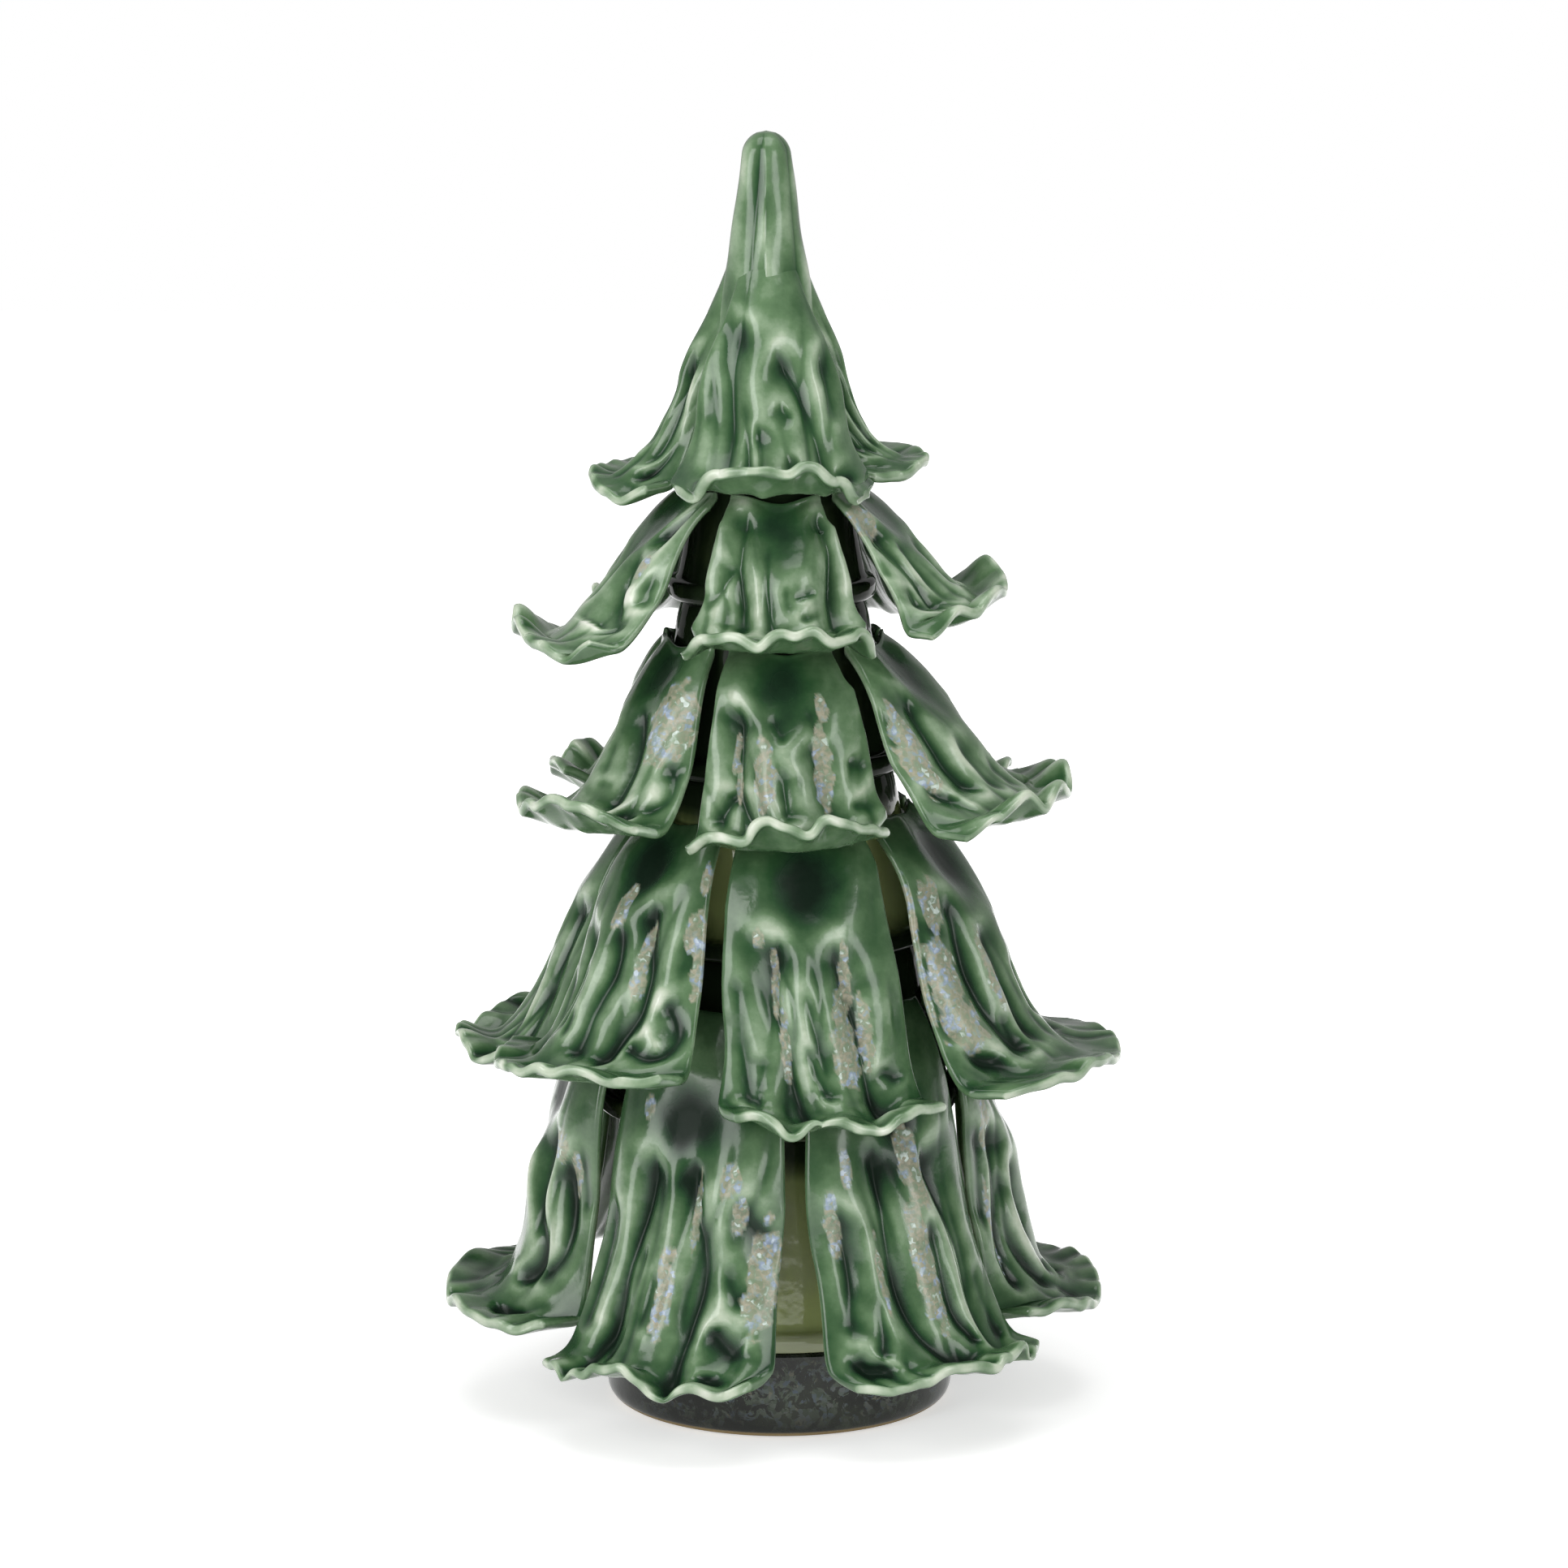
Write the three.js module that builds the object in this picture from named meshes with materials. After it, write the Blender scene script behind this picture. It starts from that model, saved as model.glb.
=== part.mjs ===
// Christmas tree figurine of glazed earthenware, in millimetres, +Z up.
// A hollow foot carries five hollow trunk drums, each a little narrower than the one below, and a solid
// spire. Pleated leaves are pressed onto the trunk by thumb in four tiers, and four crown leaves hang
// from the spire. The origin is the centre of the foot's underside, and the tree's front faces -Y.
import * as THREE from "three";

// Overall
const SEAT_GAP = 0.3; // between pieces that are luted together
const LEAN_PER_MM = -0.0092; // the stack of drums leans towards -X as it rises
const SIDES = 32; // facets round the turned pieces

// Foot: an open drum with a round lower edge that stands on a flat foot ring
const FOOT_HEIGHT = 28;
const FOOT_RADIUS = 55.5;
const FOOT_EDGE = 4.5; // radius of the rounded lower edge
const FOOT_WALL = 6;

// Trunk drums, lowest first: the rim is the bead at the lower end, the neck is the narrow upper end
const DRUM_SIZES = [
  { rim: 57.5, neck: 47.0, height: 66.5 },
  { rim: 57.0, neck: 45.0, height: 53.4 },
  { rim: 48.5, neck: 37.5, height: 53.6 },
  { rim: 40.5, neck: 29.5, height: 52.8 },
  { rim: 32.5, neck: 22.0, height: 45.0 },
];
const DRUM_WALL = 5;
const DRUM_FLOOR = 5; // thickness of the ring that each drum rests on
const FLOOR_WIDTH = 2; // least width of that ring inside the wall
const RIM_HEIGHT = 6; // height of the bead
const RIM_STEP = 3; // how far the bead stands out from the wall
const NECK_ROUND = 4; // height of the rounding of the upper end
const NECK_INSET = 1.6; // width of that rounding

// Spire: a solid cone that swells towards its foot
const SPIRE_HEIGHT = 98;
const SPIRE_FOOT_RADIUS = 21.5;
const SPIRE_TIP_RADIUS = 7;
const SPIRE_SWELL = 1.15; // 1 is a straight cone, more keeps it slim further down
const SPIRE_ROWS = 9;
const SPIRE_ASIDE = -1.2; // how far it stands off the line of the stack

// Leaves: slabs of clay with modelled folds, pressed on at the top and flared at the lip
const LEAF_THICKNESS = 3.2;
const CLAMPED_SHARE = 0.8; // of that thickness, where a leaf is squeezed against the trunk
const LEAF_COLUMNS = 13;
const LEAF_ROWS = 6;
const ROW_CROWDING = 1.2; // 1 spaces the rows evenly, more draws them towards the lip
const FOLD_DEPTH = 3.8;
const FOLD_WIDTH = 8; // how far from its line a fold dies away
const FOLD_START = 0.2; // share of the length from the top
const FOLD_NEAR = 0.3; // where the first of its three places is given
const FOLD_RIPE = 0.5; // where it has its full depth
const FOLD_RISE = 1.3; // how far the slab stands out between folds
const INNER_FOLD = 0.5; // how much of a fold shows on the back of the slab
const LIP_START = 0.8; // where the slab begins to turn up into its lip
const LIP_WAVE = 3; // height of a lip's waves
const LIP_WAVES = 2;
const EDGE_CALM = 0.6; // share of the modelling that dies away at a leaf's side edges
const CORNER_TRIM = 0.05; // share of the length that the two lower corners lose
const THUMB_DEPTH = 4;
const THUMB_WIDTH = 11;
const THUMB_HEIGHT = 10;
const LEAF_CLEARANCE = 2.4; // from the middle of a slab to the plane between it and its neighbour
const TUCK_SPAN = [0.12, 0.3, 0.6, 0.9]; // of a leaf's length: where a tucked side slips under and back

// Tiers, lowest first. A tier hangs from one drum, or from the spire. down is from the top of that drum
// to the tops of the leaves, and rise is from the foot of the spire to them. drop is the height of a
// leaf, and reach is the radius of its lip. belly and flare set how far the leaf swells out of the wall
// and how far its lip runs out. half widths are measured round the slab, and wraps are its bending radii
// at the top, the middle and the lip. thumb is the place of the thumb's dent as a share of the length
// from the top, where there is one, and lipRise is how far the lip turns up. The crown's leaves are
// smoothed onto the spire, so they are thin and close together at the top. A leaf's own values are its
// azimuth from the front, how far its lip leans and rolls, and what it differs by from its tier. A claim
// is its share of the angle between it and its neighbours, 1 unless given, and the tucks are the angles
// by which its sides go underneath them. Each of its folds has its place across the leaf near the top,
// in the middle and at the lip, from -1 to 1, and its share of the full depth. Its lip is given by how
// far it turns up at even steps across. Leaves without them get even folds and a wavy lip.
const TIERS = [
  {
    name: "tier_5_leaf",
    drum: 1,
    down: 14.4,
    drop: 103,
    reach: 100,
    belly: 26,
    flare: 26,
    sag: 4,
    halfTop: 27,
    halfMiddle: 35,
    halfLip: 47,
    wrapTop: 50,
    wrapMiddle: 44,
    wrapLip: 62,
    thumb: 0.25,
    lipRise: 3,
    leaves: [
      {
        at: -25, reach: -3, drop: 6, belly: -2, halfLip: -4, lean: -7, seed: 51,
        folds: [
          [-0.36, -0.48, -0.62, 1],
          [-0.1, -0.16, -0.25, 0.5],
          [0.12, 0.33, 0.36, 1],
          [0.6, 0.62, 0.8, 0.6],
        ],
        lip: [0, 2, 3, 5.5, 7, 1, 2, -1, 2],
      },
      {
        at: 34, reach: -2, drop: 5, belly: -2, halfTop: -3, wrapLip: 16, lean: 14, seed: 52,
        folds: [
          [-0.72, -0.76, -0.8, 0.5],
          [-0.28, -0.3, 0.02, 1],
          [0.12, 0.18, 0.35, 0.6],
          [0.35, 0.54, 0.65, 1],
          [0.75, 0.77, 0.84, 0.5],
        ],
        lip: [-1, -1.5, 1, 4.2, 1.5, 3.5, 6.5, 3, 2],
      },
      {
        at: 91, reach: 3, belly: 8, flare: 10,
        halfMiddle: 4, halfLip: 3, wrapLip: -14, roll: 4, seed: 53,
        folds: [
          [-0.86, -0.84, -0.8, 0.7],
          [-0.62, -0.62, -0.55, 0.8],
          [-0.3, -0.3, -0.25, 0.7],
          [0.2, 0.25, 0.2, 0.7],
          [0.6, 0.6, 0.65, 0.6],
        ],
        lip: [8, 8, 3.5, 0.6, 2, 3.4, 5, 3, 1],
      },
      { at: 148, reach: -3, seed: 54 },
      { at: -150, reach: -4, seed: 55 },
      {
        at: -82, reach: 5, drop: -1, belly: 13, flare: 16,
        halfMiddle: 4, halfLip: 4, wrapLip: -15, roll: -4, seed: 56,
        folds: [
          [-0.6, -0.6, -0.65, 0.6],
          [-0.15, -0.2, -0.2, 0.7],
          [0.3, 0.36, 0.3, 0.8],
          [0.62, 0.62, 0.6, 1],
          [0.84, 0.84, 0.85, 0.6],
        ],
        lip: [2, 4, 5.5, 4, 1.5, 4, 3.7, 3, 6.8],
      },
    ],
  },
  {
    name: "tier_4_leaf",
    drum: 2,
    down: 12.4,
    drop: 80,
    reach: 100,
    belly: 36,
    flare: 34,
    sag: 4,
    halfTop: 24,
    halfMiddle: 33,
    halfLip: 48,
    wrapTop: 40,
    wrapMiddle: 40,
    wrapLip: 58,
    thumb: 0.14,
    lipRise: 4,
    leaves: [
      {
        at: 10, reach: -12, drop: 5, halfMiddle: -3, halfLip: -9, lean: 8, seed: 41,
        folds: [
          [-0.85, -0.77, -0.7, 0.5],
          [-0.4, -0.33, -0.24, 1],
          [-0.1, 0.01, 0.02, 0.5],
          [0.27, 0.43, 0.55, 1],
          [0.78, 0.8, 0.82, 0.3],
        ],
        lip: [3, 4.5, 0.5, 5.8, 2.5, 0, 4, 4.8, 3],
      },
      {
        at: -47, reach: 2, drop: -6, halfMiddle: 4, halfLip: 4, lean: -8, seed: 42,
        folds: [
          [-0.5, -0.55, -0.6, 0.7],
          [-0.2, -0.25, -0.2, 0.5],
          [0.03, 0.1, 0.1, 0.7],
          [0.4, 0.42, 0.35, 1],
          [0.75, 0.8, 0.84, 0.5],
        ],
        lip: [5, 3.5, 3, 3.5, 4.4, 4.6, 6.9, 3, 4.5],
      },
      { at: -97, reach: 1, drop: -1, belly: -3, seed: 43 },
      {
        at: 71, reach: 11, drop: -3, belly: 6, flare: 10, halfMiddle: 5, halfLip: 2, roll: 4, seed: 44,
        folds: [
          [-0.9, -0.84, -0.8, 0.5],
          [-0.48, -0.38, -0.2, 1],
          [-0.18, -0.1, 0.02, 0.6],
          [0.2, 0.2, 0.25, 0.4],
          [0.55, 0.6, 0.62, 0.7],
        ],
        lip: [2.9, 5.2, 4.5, 6.5, 3.2, 1, 1.5, 1, 0],
      },
      { at: 128, reach: -8, drop: -6, seed: 45 },
      { at: 182, reach: -10, drop: -6, seed: 46 },
    ],
  },
  {
    name: "tier_3_leaf",
    drum: 3,
    down: 11.5,
    drop: 54,
    reach: 85,
    belly: 26,
    flare: 28,
    sag: 4,
    halfTop: 21,
    halfMiddle: 29,
    halfLip: 42,
    wrapTop: 32,
    wrapMiddle: 32,
    wrapLip: 45,
    thumb: 0.14,
    lipRise: 7,
    leaves: [
      {
        at: 5, reach: -11, drop: 3, lean: 3, tuckRight: 8, seed: 31,
        folds: [
          [-0.84, -0.84, -0.86, 0.5],
          [-0.6, -0.47, -0.4, 1],
          [-0.05, -0.05, -0.08, 0.5],
          [0.28, 0.42, 0.55, 0.8],
          [0.75, 0.78, 0.8, 0.4],
        ],
        lip: [-2, 5.5, 5, 13, 6, 12.5, 10, 6.5, 4],
      },
      {
        at: -61, drop: 1, belly: -5, halfMiddle: 3, roll: 2, seed: 32,
        folds: [
          [-0.5, -0.55, -0.6, 0.7],
          [-0.15, 0.04, 0.1, 0.5],
          [0.1, 0.37, 0.3, 1],
          [0.78, 0.86, 0.7, 0.6],
        ],
        lip: [5, 8, 7, 5, 8, 11, 10, 7, 2],
      },
      { at: -121, reach: -8, drop: -2, belly: -4, seed: 33 },
      {
        at: 68, reach: 11, drop: -3, belly: 5, halfMiddle: 4, roll: 4, seed: 34,
        folds: [
          [-0.9, -0.88, -0.84, 0.4],
          [-0.47, -0.35, -0.2, 1],
          [-0.15, -0.07, 0.02, 0.6],
          [0.14, 0.2, 0.24, 0.5],
          [0.55, 0.6, 0.65, 0.7],
        ],
        lip: [2, 7, 11, 5, 9, 4, 9, 7, 4],
      },
      { at: 126, reach: -1, seed: 35 },
      { at: 182, seed: 36 },
    ],
  },
  {
    name: "tier_2_leaf",
    drum: 4,
    down: 10.8,
    drop: 48,
    reach: 78,
    belly: 24,
    flare: 26,
    sag: 3,
    halfTop: 18,
    halfMiddle: 24,
    halfLip: 36,
    wrapTop: 24,
    wrapMiddle: 26,
    wrapLip: 38,
    thumb: 0.14,
    lipRise: 7,
    leaves: [
      {
        at: 4, reach: -16, drop: -4, belly: -4, halfMiddle: 2, halfLip: 2,
        tuckLeft: 5, tuckRight: 10, seed: 21,
        folds: [
          [-0.74, -0.86, -0.88, 0.5],
          [-0.56, -0.45, -0.35, 1],
          [-0.16, -0.11, -0.02, 0.8],
          [0.1, 0.15, 0.2, 0.4],
          [0.79, 0.65, 0.6, 1],
        ],
        lip: [-2, 4, 5.5, 3.2, 7.5, 7, 3, 6, -2],
      },
      {
        at: -72, reach: 3, drop: 1, belly: 7, halfMiddle: 3, halfLip: -2, lean: -5, roll: 4, seed: 22,
        folds: [
          [-0.5, -0.55, -0.6, 0.7],
          [-0.1, -0.15, -0.2, 0.8],
          [0.3, 0.64, 0.7, 1],
          [0.76, 0.86, 0.88, 0.5],
        ],
        lip: [6, 9, 12, 7, 10, 4, 1, -2, 3],
      },
      {
        at: 76, reach: -4, drop: -10, belly: 3, flare: -2, roll: 4, seed: 23,
        folds: [
          [-0.84, -0.74, -0.64, 0.6],
          [-0.62, -0.44, -0.36, 1],
          [-0.36, -0.2, -0.04, 0.7],
          [0.25, 0.3, 0.35, 0.6],
          [0.7, 0.7, 0.75, 0.5],
        ],
        lip: [1, 7, 5.5, 9.5, 7, 7.5, 9, 11, 5],
      },
      { at: 150, seed: 24 },
      { at: -148, seed: 25 },
    ],
  },
  {
    name: "crown_leaf",
    drum: 5,
    rise: 62,
    drop: 71,
    reach: 52,
    belly: 4,
    flare: 22,
    sag: 4,
    halfTop: 12,
    halfMiddle: 26,
    halfLip: 37,
    wrapTop: 13,
    wrapMiddle: 26,
    wrapLip: 32,
    topThickness: 1.3,
    topClearance: 1.1,
    lipRise: 4,
    leaves: [
      {
        at: 5, reach: -5, belly: 4, flare: -5, halfLip: 5, claim: 2, seed: 11,
        folds: [
          [-0.7, -0.6, -0.5, 0.8],
          [-0.25, -0.26, -0.14, 0.9],
          [0.05, 0.08, 0.15, 0.6],
          [0.4, 0.6, 0.7, 0.6],
        ],
        lip: [0, -0.5, 6.5, 9.4, 7.5, 9.6, 3.8, -2.8, -1],
      },
      {
        at: -93, reach: 3, drop: 3, belly: 4, seed: 12,
        folds: [
          [-0.6, -0.6, -0.5, 0.6],
          [-0.2, -0.2, -0.2, 0.7],
          [0.3, 0.4, 0.4, 0.8],
          [0.7, 0.75, 0.7, 0.7],
        ],
        lip: [3, 4, 4, 4.5, 4.5, 2, 0, -2, 2],
      },
      {
        at: 98, reach: -1, drop: -2, belly: 3, flare: 3, seed: 13,
        folds: [
          [-0.75, -0.75, -0.75, 0.7],
          [-0.4, -0.45, -0.45, 0.8],
          [0.2, 0.2, 0.2, 0.7],
          [0.6, 0.6, 0.6, 0.6],
        ],
        lip: [0, -1, 1, 3, 3, 4, 4, 4.5, 4],
      },
      { at: 184, seed: 14 },
    ],
  },
];

const glaze = (color, roughness) => new THREE.MeshStandardMaterial({ color, roughness, metalness: 0 });
const GREEN_GLAZE = 0x55734f;
const OLIVE_GLAZE = 0x596541;
const DARK_GLAZE = 0x384032;

const mix = (a, b, t) => a + (b - a) * t;

// Smooth step from 0 at a to 1 at b.
function smooth(a, b, x) {
  const t = THREE.MathUtils.clamp((x - a) / (b - a), 0, 1);
  return t * t * (3 - 2 * t);
}

// A full turn times the fraction that a seed and an index give: an even spread of phases.
function phase(seed, index) {
  return 2 * Math.PI * ((seed * 0.7548776662 + index * 0.569840291) % 1);
}

// Turns a closed outline of [radius, height] points about the Z axis.
function turned(outline, sides) {
  const points = outline.map(([radius, height]) => new THREE.Vector2(radius, height));
  return new THREE.LatheGeometry(points, sides).rotateX(Math.PI / 2);
}

// Points of a quarter round of radius r about (x, y), from one angle to another.
function quarter(x, y, r, from, to, steps) {
  return Array.from({ length: steps + 1 }, (_, i) => {
    const angle = mix(from, to, i / steps);
    return [x + r * Math.cos(angle), y + r * Math.sin(angle)];
  });
}

// The trunk: each drum stands on the neck of the one below, a seat gap above it
let height = FOOT_HEIGHT + SEAT_GAP;
let bore = FOOT_RADIUS - 2 * FOOT_WALL; // radius of the hole at the top of the piece below
const drums = DRUM_SIZES.map((size) => {
  const drum = { ...size, bottom: height, top: height + size.height, bore, wall: size.rim - RIM_STEP };
  height = drum.top + SEAT_GAP;
  bore = size.neck - DRUM_WALL;
  return drum;
});
const spireBottom = height;

// Outer outline of a drum, from the outer edge of its floor up to the inner edge of its neck.
function drumOutside(drum) {
  const bead = RIM_HEIGHT / 3;
  return [
    [drum.rim - bead, drum.bottom],
    [drum.rim, drum.bottom + bead],
    [drum.rim, drum.bottom + RIM_HEIGHT - bead],
    [drum.wall, drum.bottom + RIM_HEIGHT],
    [drum.neck, drum.top - NECK_ROUND],
    [drum.neck - NECK_INSET, drum.top],
  ];
}

// A drum's whole outline: the outside, then down the bore to the floor ring.
function drumOutline(drum) {
  const hole = Math.min(drum.bore, drum.wall - DRUM_WALL - FLOOR_WIDTH);
  const inside = [
    [drum.neck - DRUM_WALL - NECK_INSET, drum.top],
    [drum.wall - DRUM_WALL, drum.bottom + DRUM_FLOOR],
    [hole, drum.bottom + DRUM_FLOOR],
    [hole, drum.bottom],
  ];
  const outline = [...drumOutside(drum), ...inside];
  return [...outline, outline[0]];
}

// Radius of the spire at a share of its height.
function spireRadius(share) {
  return mix(SPIRE_TIP_RADIUS, SPIRE_FOOT_RADIUS, (1 - share) ** SPIRE_SWELL);
}

// Largest radius of the trunk and the spire near a height, within reach of a bead. aside is how far the
// drums stand off the axis that it is measured from.
function trunkRadius(z, aside = 0) {
  const near = RIM_STEP;
  let largest = spireRadius(THREE.MathUtils.clamp((z - near - spireBottom) / SPIRE_HEIGHT, 0, 1));
  if (z < drums[0].bottom) largest = FOOT_RADIUS;
  for (const drum of drums) {
    const line = drumOutside(drum);
    for (let i = 1; i < line.length; i++) {
      const [r0, z0] = line[i - 1];
      const [r1, z1] = line[i];
      const low = Math.max(z - near, z0);
      const high = Math.min(z + near, z1);
      if (low > high) continue;
      const at = (level) => mix(r0, r1, z1 > z0 ? (level - z0) / (z1 - z0) : 0);
      largest = Math.max(largest, at(low) + aside, at(high) + aside);
    }
  }
  return largest;
}

const part = new THREE.Group();

function addMesh(group, name, geometry, material) {
  const mesh = new THREE.Mesh(geometry, material);
  mesh.name = name;
  group.add(mesh);
  return mesh;
}

const footInside = FOOT_RADIUS - FOOT_WALL;
const footOutline = [
  [footInside - FOOT_EDGE, 0],
  ...quarter(FOOT_RADIUS - FOOT_EDGE, FOOT_EDGE, FOOT_EDGE, -Math.PI / 2, 0, 3),
  [FOOT_RADIUS, FOOT_HEIGHT],
  [footInside - FOOT_WALL, FOOT_HEIGHT],
  [footInside - FOOT_WALL, FOOT_HEIGHT - FOOT_WALL],
  [footInside, FOOT_HEIGHT - 2 * FOOT_WALL],
  [footInside, FOOT_EDGE],
];
addMesh(part, "foot", turned([...footOutline, footOutline[0]], SIDES), glaze(DARK_GLAZE, 0.25));

drums.forEach((drum, i) => {
  const body = turned(drumOutline(drum), SIDES);
  const mesh = addMesh(part, `trunk_drum_${i + 1}`, body, glaze(OLIVE_GLAZE, 0.2));
  mesh.position.x = LEAN_PER_MM * drum.bottom;
});

// The spire ends in a dome, and its flat foot closes the top of the trunk
const dome = SPIRE_TIP_RADIUS;
const spireOutline = [[0, spireBottom]];
for (let i = 0; i <= SPIRE_ROWS; i++) {
  const share = (i / SPIRE_ROWS) * (1 - dome / SPIRE_HEIGHT);
  spireOutline.push([spireRadius(share), spireBottom + share * SPIRE_HEIGHT]);
}
const domeFoot = spireOutline[spireOutline.length - 1];
spireOutline.push(
  ...quarter(0, domeFoot[1], 1, 0, Math.PI / 2, 4)
    .slice(1, -1)
    .map(([c, s]) => [c * domeFoot[0], domeFoot[1] + (s - domeFoot[1]) * dome]),
  [0, spireBottom + SPIRE_HEIGHT],
);
const spire = addMesh(part, "spire", turned(spireOutline, SIDES - 8), glaze(GREEN_GLAZE, 0.2));
spire.position.x = LEAN_PER_MM * spireBottom + SPIRE_ASIDE;

// Radius, level, wrap radius and half width of a leaf's slab at u from -1 to 1 across and v from 0 to 1
// down, along a Bezier curve from the wall out to the lip.
function leafSection(leaf, u, v) {
  const t = v * (1 - CORNER_TRIM * Math.abs(u) ** 3);
  const curve = (a, b, c, d) =>
    (1 - t) ** 3 * a + 3 * (1 - t) ** 2 * t * b + 3 * (1 - t) * t * t * c + t ** 3 * d;
  const low = leaf.top - leaf.drop;
  const end = smooth(0.5, 1, v);
  const half =
    mix(leaf.halfTop, leaf.halfMiddle, smooth(0, 0.55, v)) + (leaf.halfLip - leaf.halfMiddle) * end ** 1.3;
  return {
    radius: curve(leaf.start, leaf.start + leaf.belly, leaf.reach - leaf.flare, leaf.reach),
    level: curve(leaf.top, leaf.top - 0.36 * leaf.drop, low - leaf.sag, low),
    wrap: mix(leaf.wrapTop, leaf.wrapMiddle, smooth(0.1, 0.5, v)) + (leaf.wrapLip - leaf.wrapMiddle) * end,
    half: half * (1 - 0.1 * smooth(0.88, 1.02, v)),
  };
}

// How far the lip turns up at a place across the leaf: smooth steps between its own heights.
function lipHeight(leaf, u) {
  const steps = leaf.lip.length - 1;
  const along = (THREE.MathUtils.clamp(u, -1, 1) + 1) * 0.5 * steps;
  const step = Math.min(Math.floor(along), steps - 1);
  return mix(leaf.lip[step], leaf.lip[step + 1], smooth(0, 1, along - step));
}

// Middle of the slab before it is folded: a level arc across each section. Where the edge would pass the
// plane between it and the neighbour, that side of the arc is narrowed until it keeps its clearance. A
// tucked side goes past that plane for part of its length, underneath a neighbour that stands further out.
function leafBase(leaf, u, v) {
  const { radius, level, wrap, half } = leafSection(leaf, u, v);
  const lean = leaf.lean * v * v;
  const side = u < 0 ? -1 : 1;
  const edge = leafSection(leaf, side, v);
  const edgeAngle = edge.half / edge.wrap;
  const aside = edge.wrap * Math.sin(edgeAngle) + side * lean;
  const out = edge.radius - edge.wrap * (1 - Math.cos(edgeAngle));
  const [under, full, leaving, gone] = TUCK_SPAN;
  const tucked = smooth(under, full, v) * (1 - smooth(leaving, gone, v));
  const room = side < 0 ? leaf.roomLeft + leaf.tuckLeft * tucked : leaf.roomRight + leaf.tuckRight * tucked;
  const clearance = mix(leaf.topClearance, LEAF_CLEARANCE, smooth(0.3, 0.8, v));
  const allowed = out * Math.tan(room) - clearance / Math.cos(room);
  const narrow = Math.min(1, (allowed - side * lean) / (aside - side * lean));
  const angle = (u * half) / wrap;
  return {
    point: new THREE.Vector3(
      narrow * wrap * Math.sin(angle) + lean,
      wrap * (1 - Math.cos(angle)) - radius,
      level + leaf.roll * u * v ** 3 + lipHeight(leaf, u) * smooth(LIP_START, 1, v) ** 1.4,
    ),
    half,
  };
}

// Pushes a point straight out from its tier's axis until it clears the trunk by a gap.
function clearOfTrunk(point, gap, aside) {
  const radius = Math.hypot(point.x, point.y);
  const out = Math.max((trunkRadius(point.z, aside) + gap) / radius, 1);
  point.x *= out;
  point.y *= out;
  return point;
}

// Place of a fold across its leaf: a parabola through its three places, and straight above them.
function foldPlace([near, middle, end], v) {
  const t = Math.max((v - FOLD_NEAR) / (1 - FOLD_NEAR), 0);
  return near + t * (4 * middle - 3 * near - end) + 2 * t * t * (near - 2 * middle + end);
}

// Column of the grid that a fold runs along.
const foldColumn = ([, middle]) => Math.round(((middle + 1) / 2) * LEAF_COLUMNS);

// Place of a column across the leaf: evenly between the folds on its two sides.
function columnPlace(leaf, column, v) {
  let [low, from] = [0, -1];
  for (const fold of leaf.folds) {
    const [high, to] = [foldColumn(fold), foldPlace(fold, v)];
    if (column <= high) return mix(from, to, (column - low) / (high - low));
    [low, from] = [high, to];
  }
  return mix(from, 1, (column - low) / (LEAF_COLUMNS - low));
}

// The two faces of the slab: folds run down it, and the thumb that pressed the leaf on has left a dent
// near its top.
function leafFaces(leaf, u, v) {
  const { point, half } = leafBase(leaf, u, v);
  const step = 1e-4;
  const across = leafBase(leaf, u + step, v).point.sub(leafBase(leaf, u - step, v).point);
  const down = leafBase(leaf, u, v + step).point.sub(leafBase(leaf, u, v - step).point);
  const normal = down.cross(across).normalize();
  let sunk = 0;
  for (const fold of leaf.folds) {
    const away = Math.abs(u - foldPlace(fold, v)) * half;
    sunk += (fold[3] * FOLD_DEPTH * Math.exp(-away / FOLD_WIDTH)) ** 3;
  }
  const ripe = smooth(FOLD_START, FOLD_RIPE, v) * (1 - 0.4 * smooth(0.8, 1, v));
  const inland = 1 - EDGE_CALM * smooth(0.7, 1, Math.abs(u));
  const fold = ripe * inland * (FOLD_RISE - Math.cbrt(sunk));
  let dent = 0;
  if (leaf.thumb) {
    const aside = (u * half) / THUMB_WIDTH;
    const below = ((v - leaf.thumb) * leaf.drop) / THUMB_HEIGHT;
    dent = THUMB_DEPTH * Math.exp(-aside * aside - below * below);
  }
  const thick = mix(leaf.topThickness, LEAF_THICKNESS, smooth(0, 0.35, v));
  const outer = point.clone().addScaledVector(normal, thick / 2 + fold - dent);
  const inner = point.clone().addScaledVector(normal, -thick / 2 + INNER_FOLD * fold - dent);
  return [
    clearOfTrunk(outer, SEAT_GAP + CLAMPED_SHARE * thick, leaf.aside),
    clearOfTrunk(inner, SEAT_GAP, leaf.aside),
  ];
}

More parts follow.
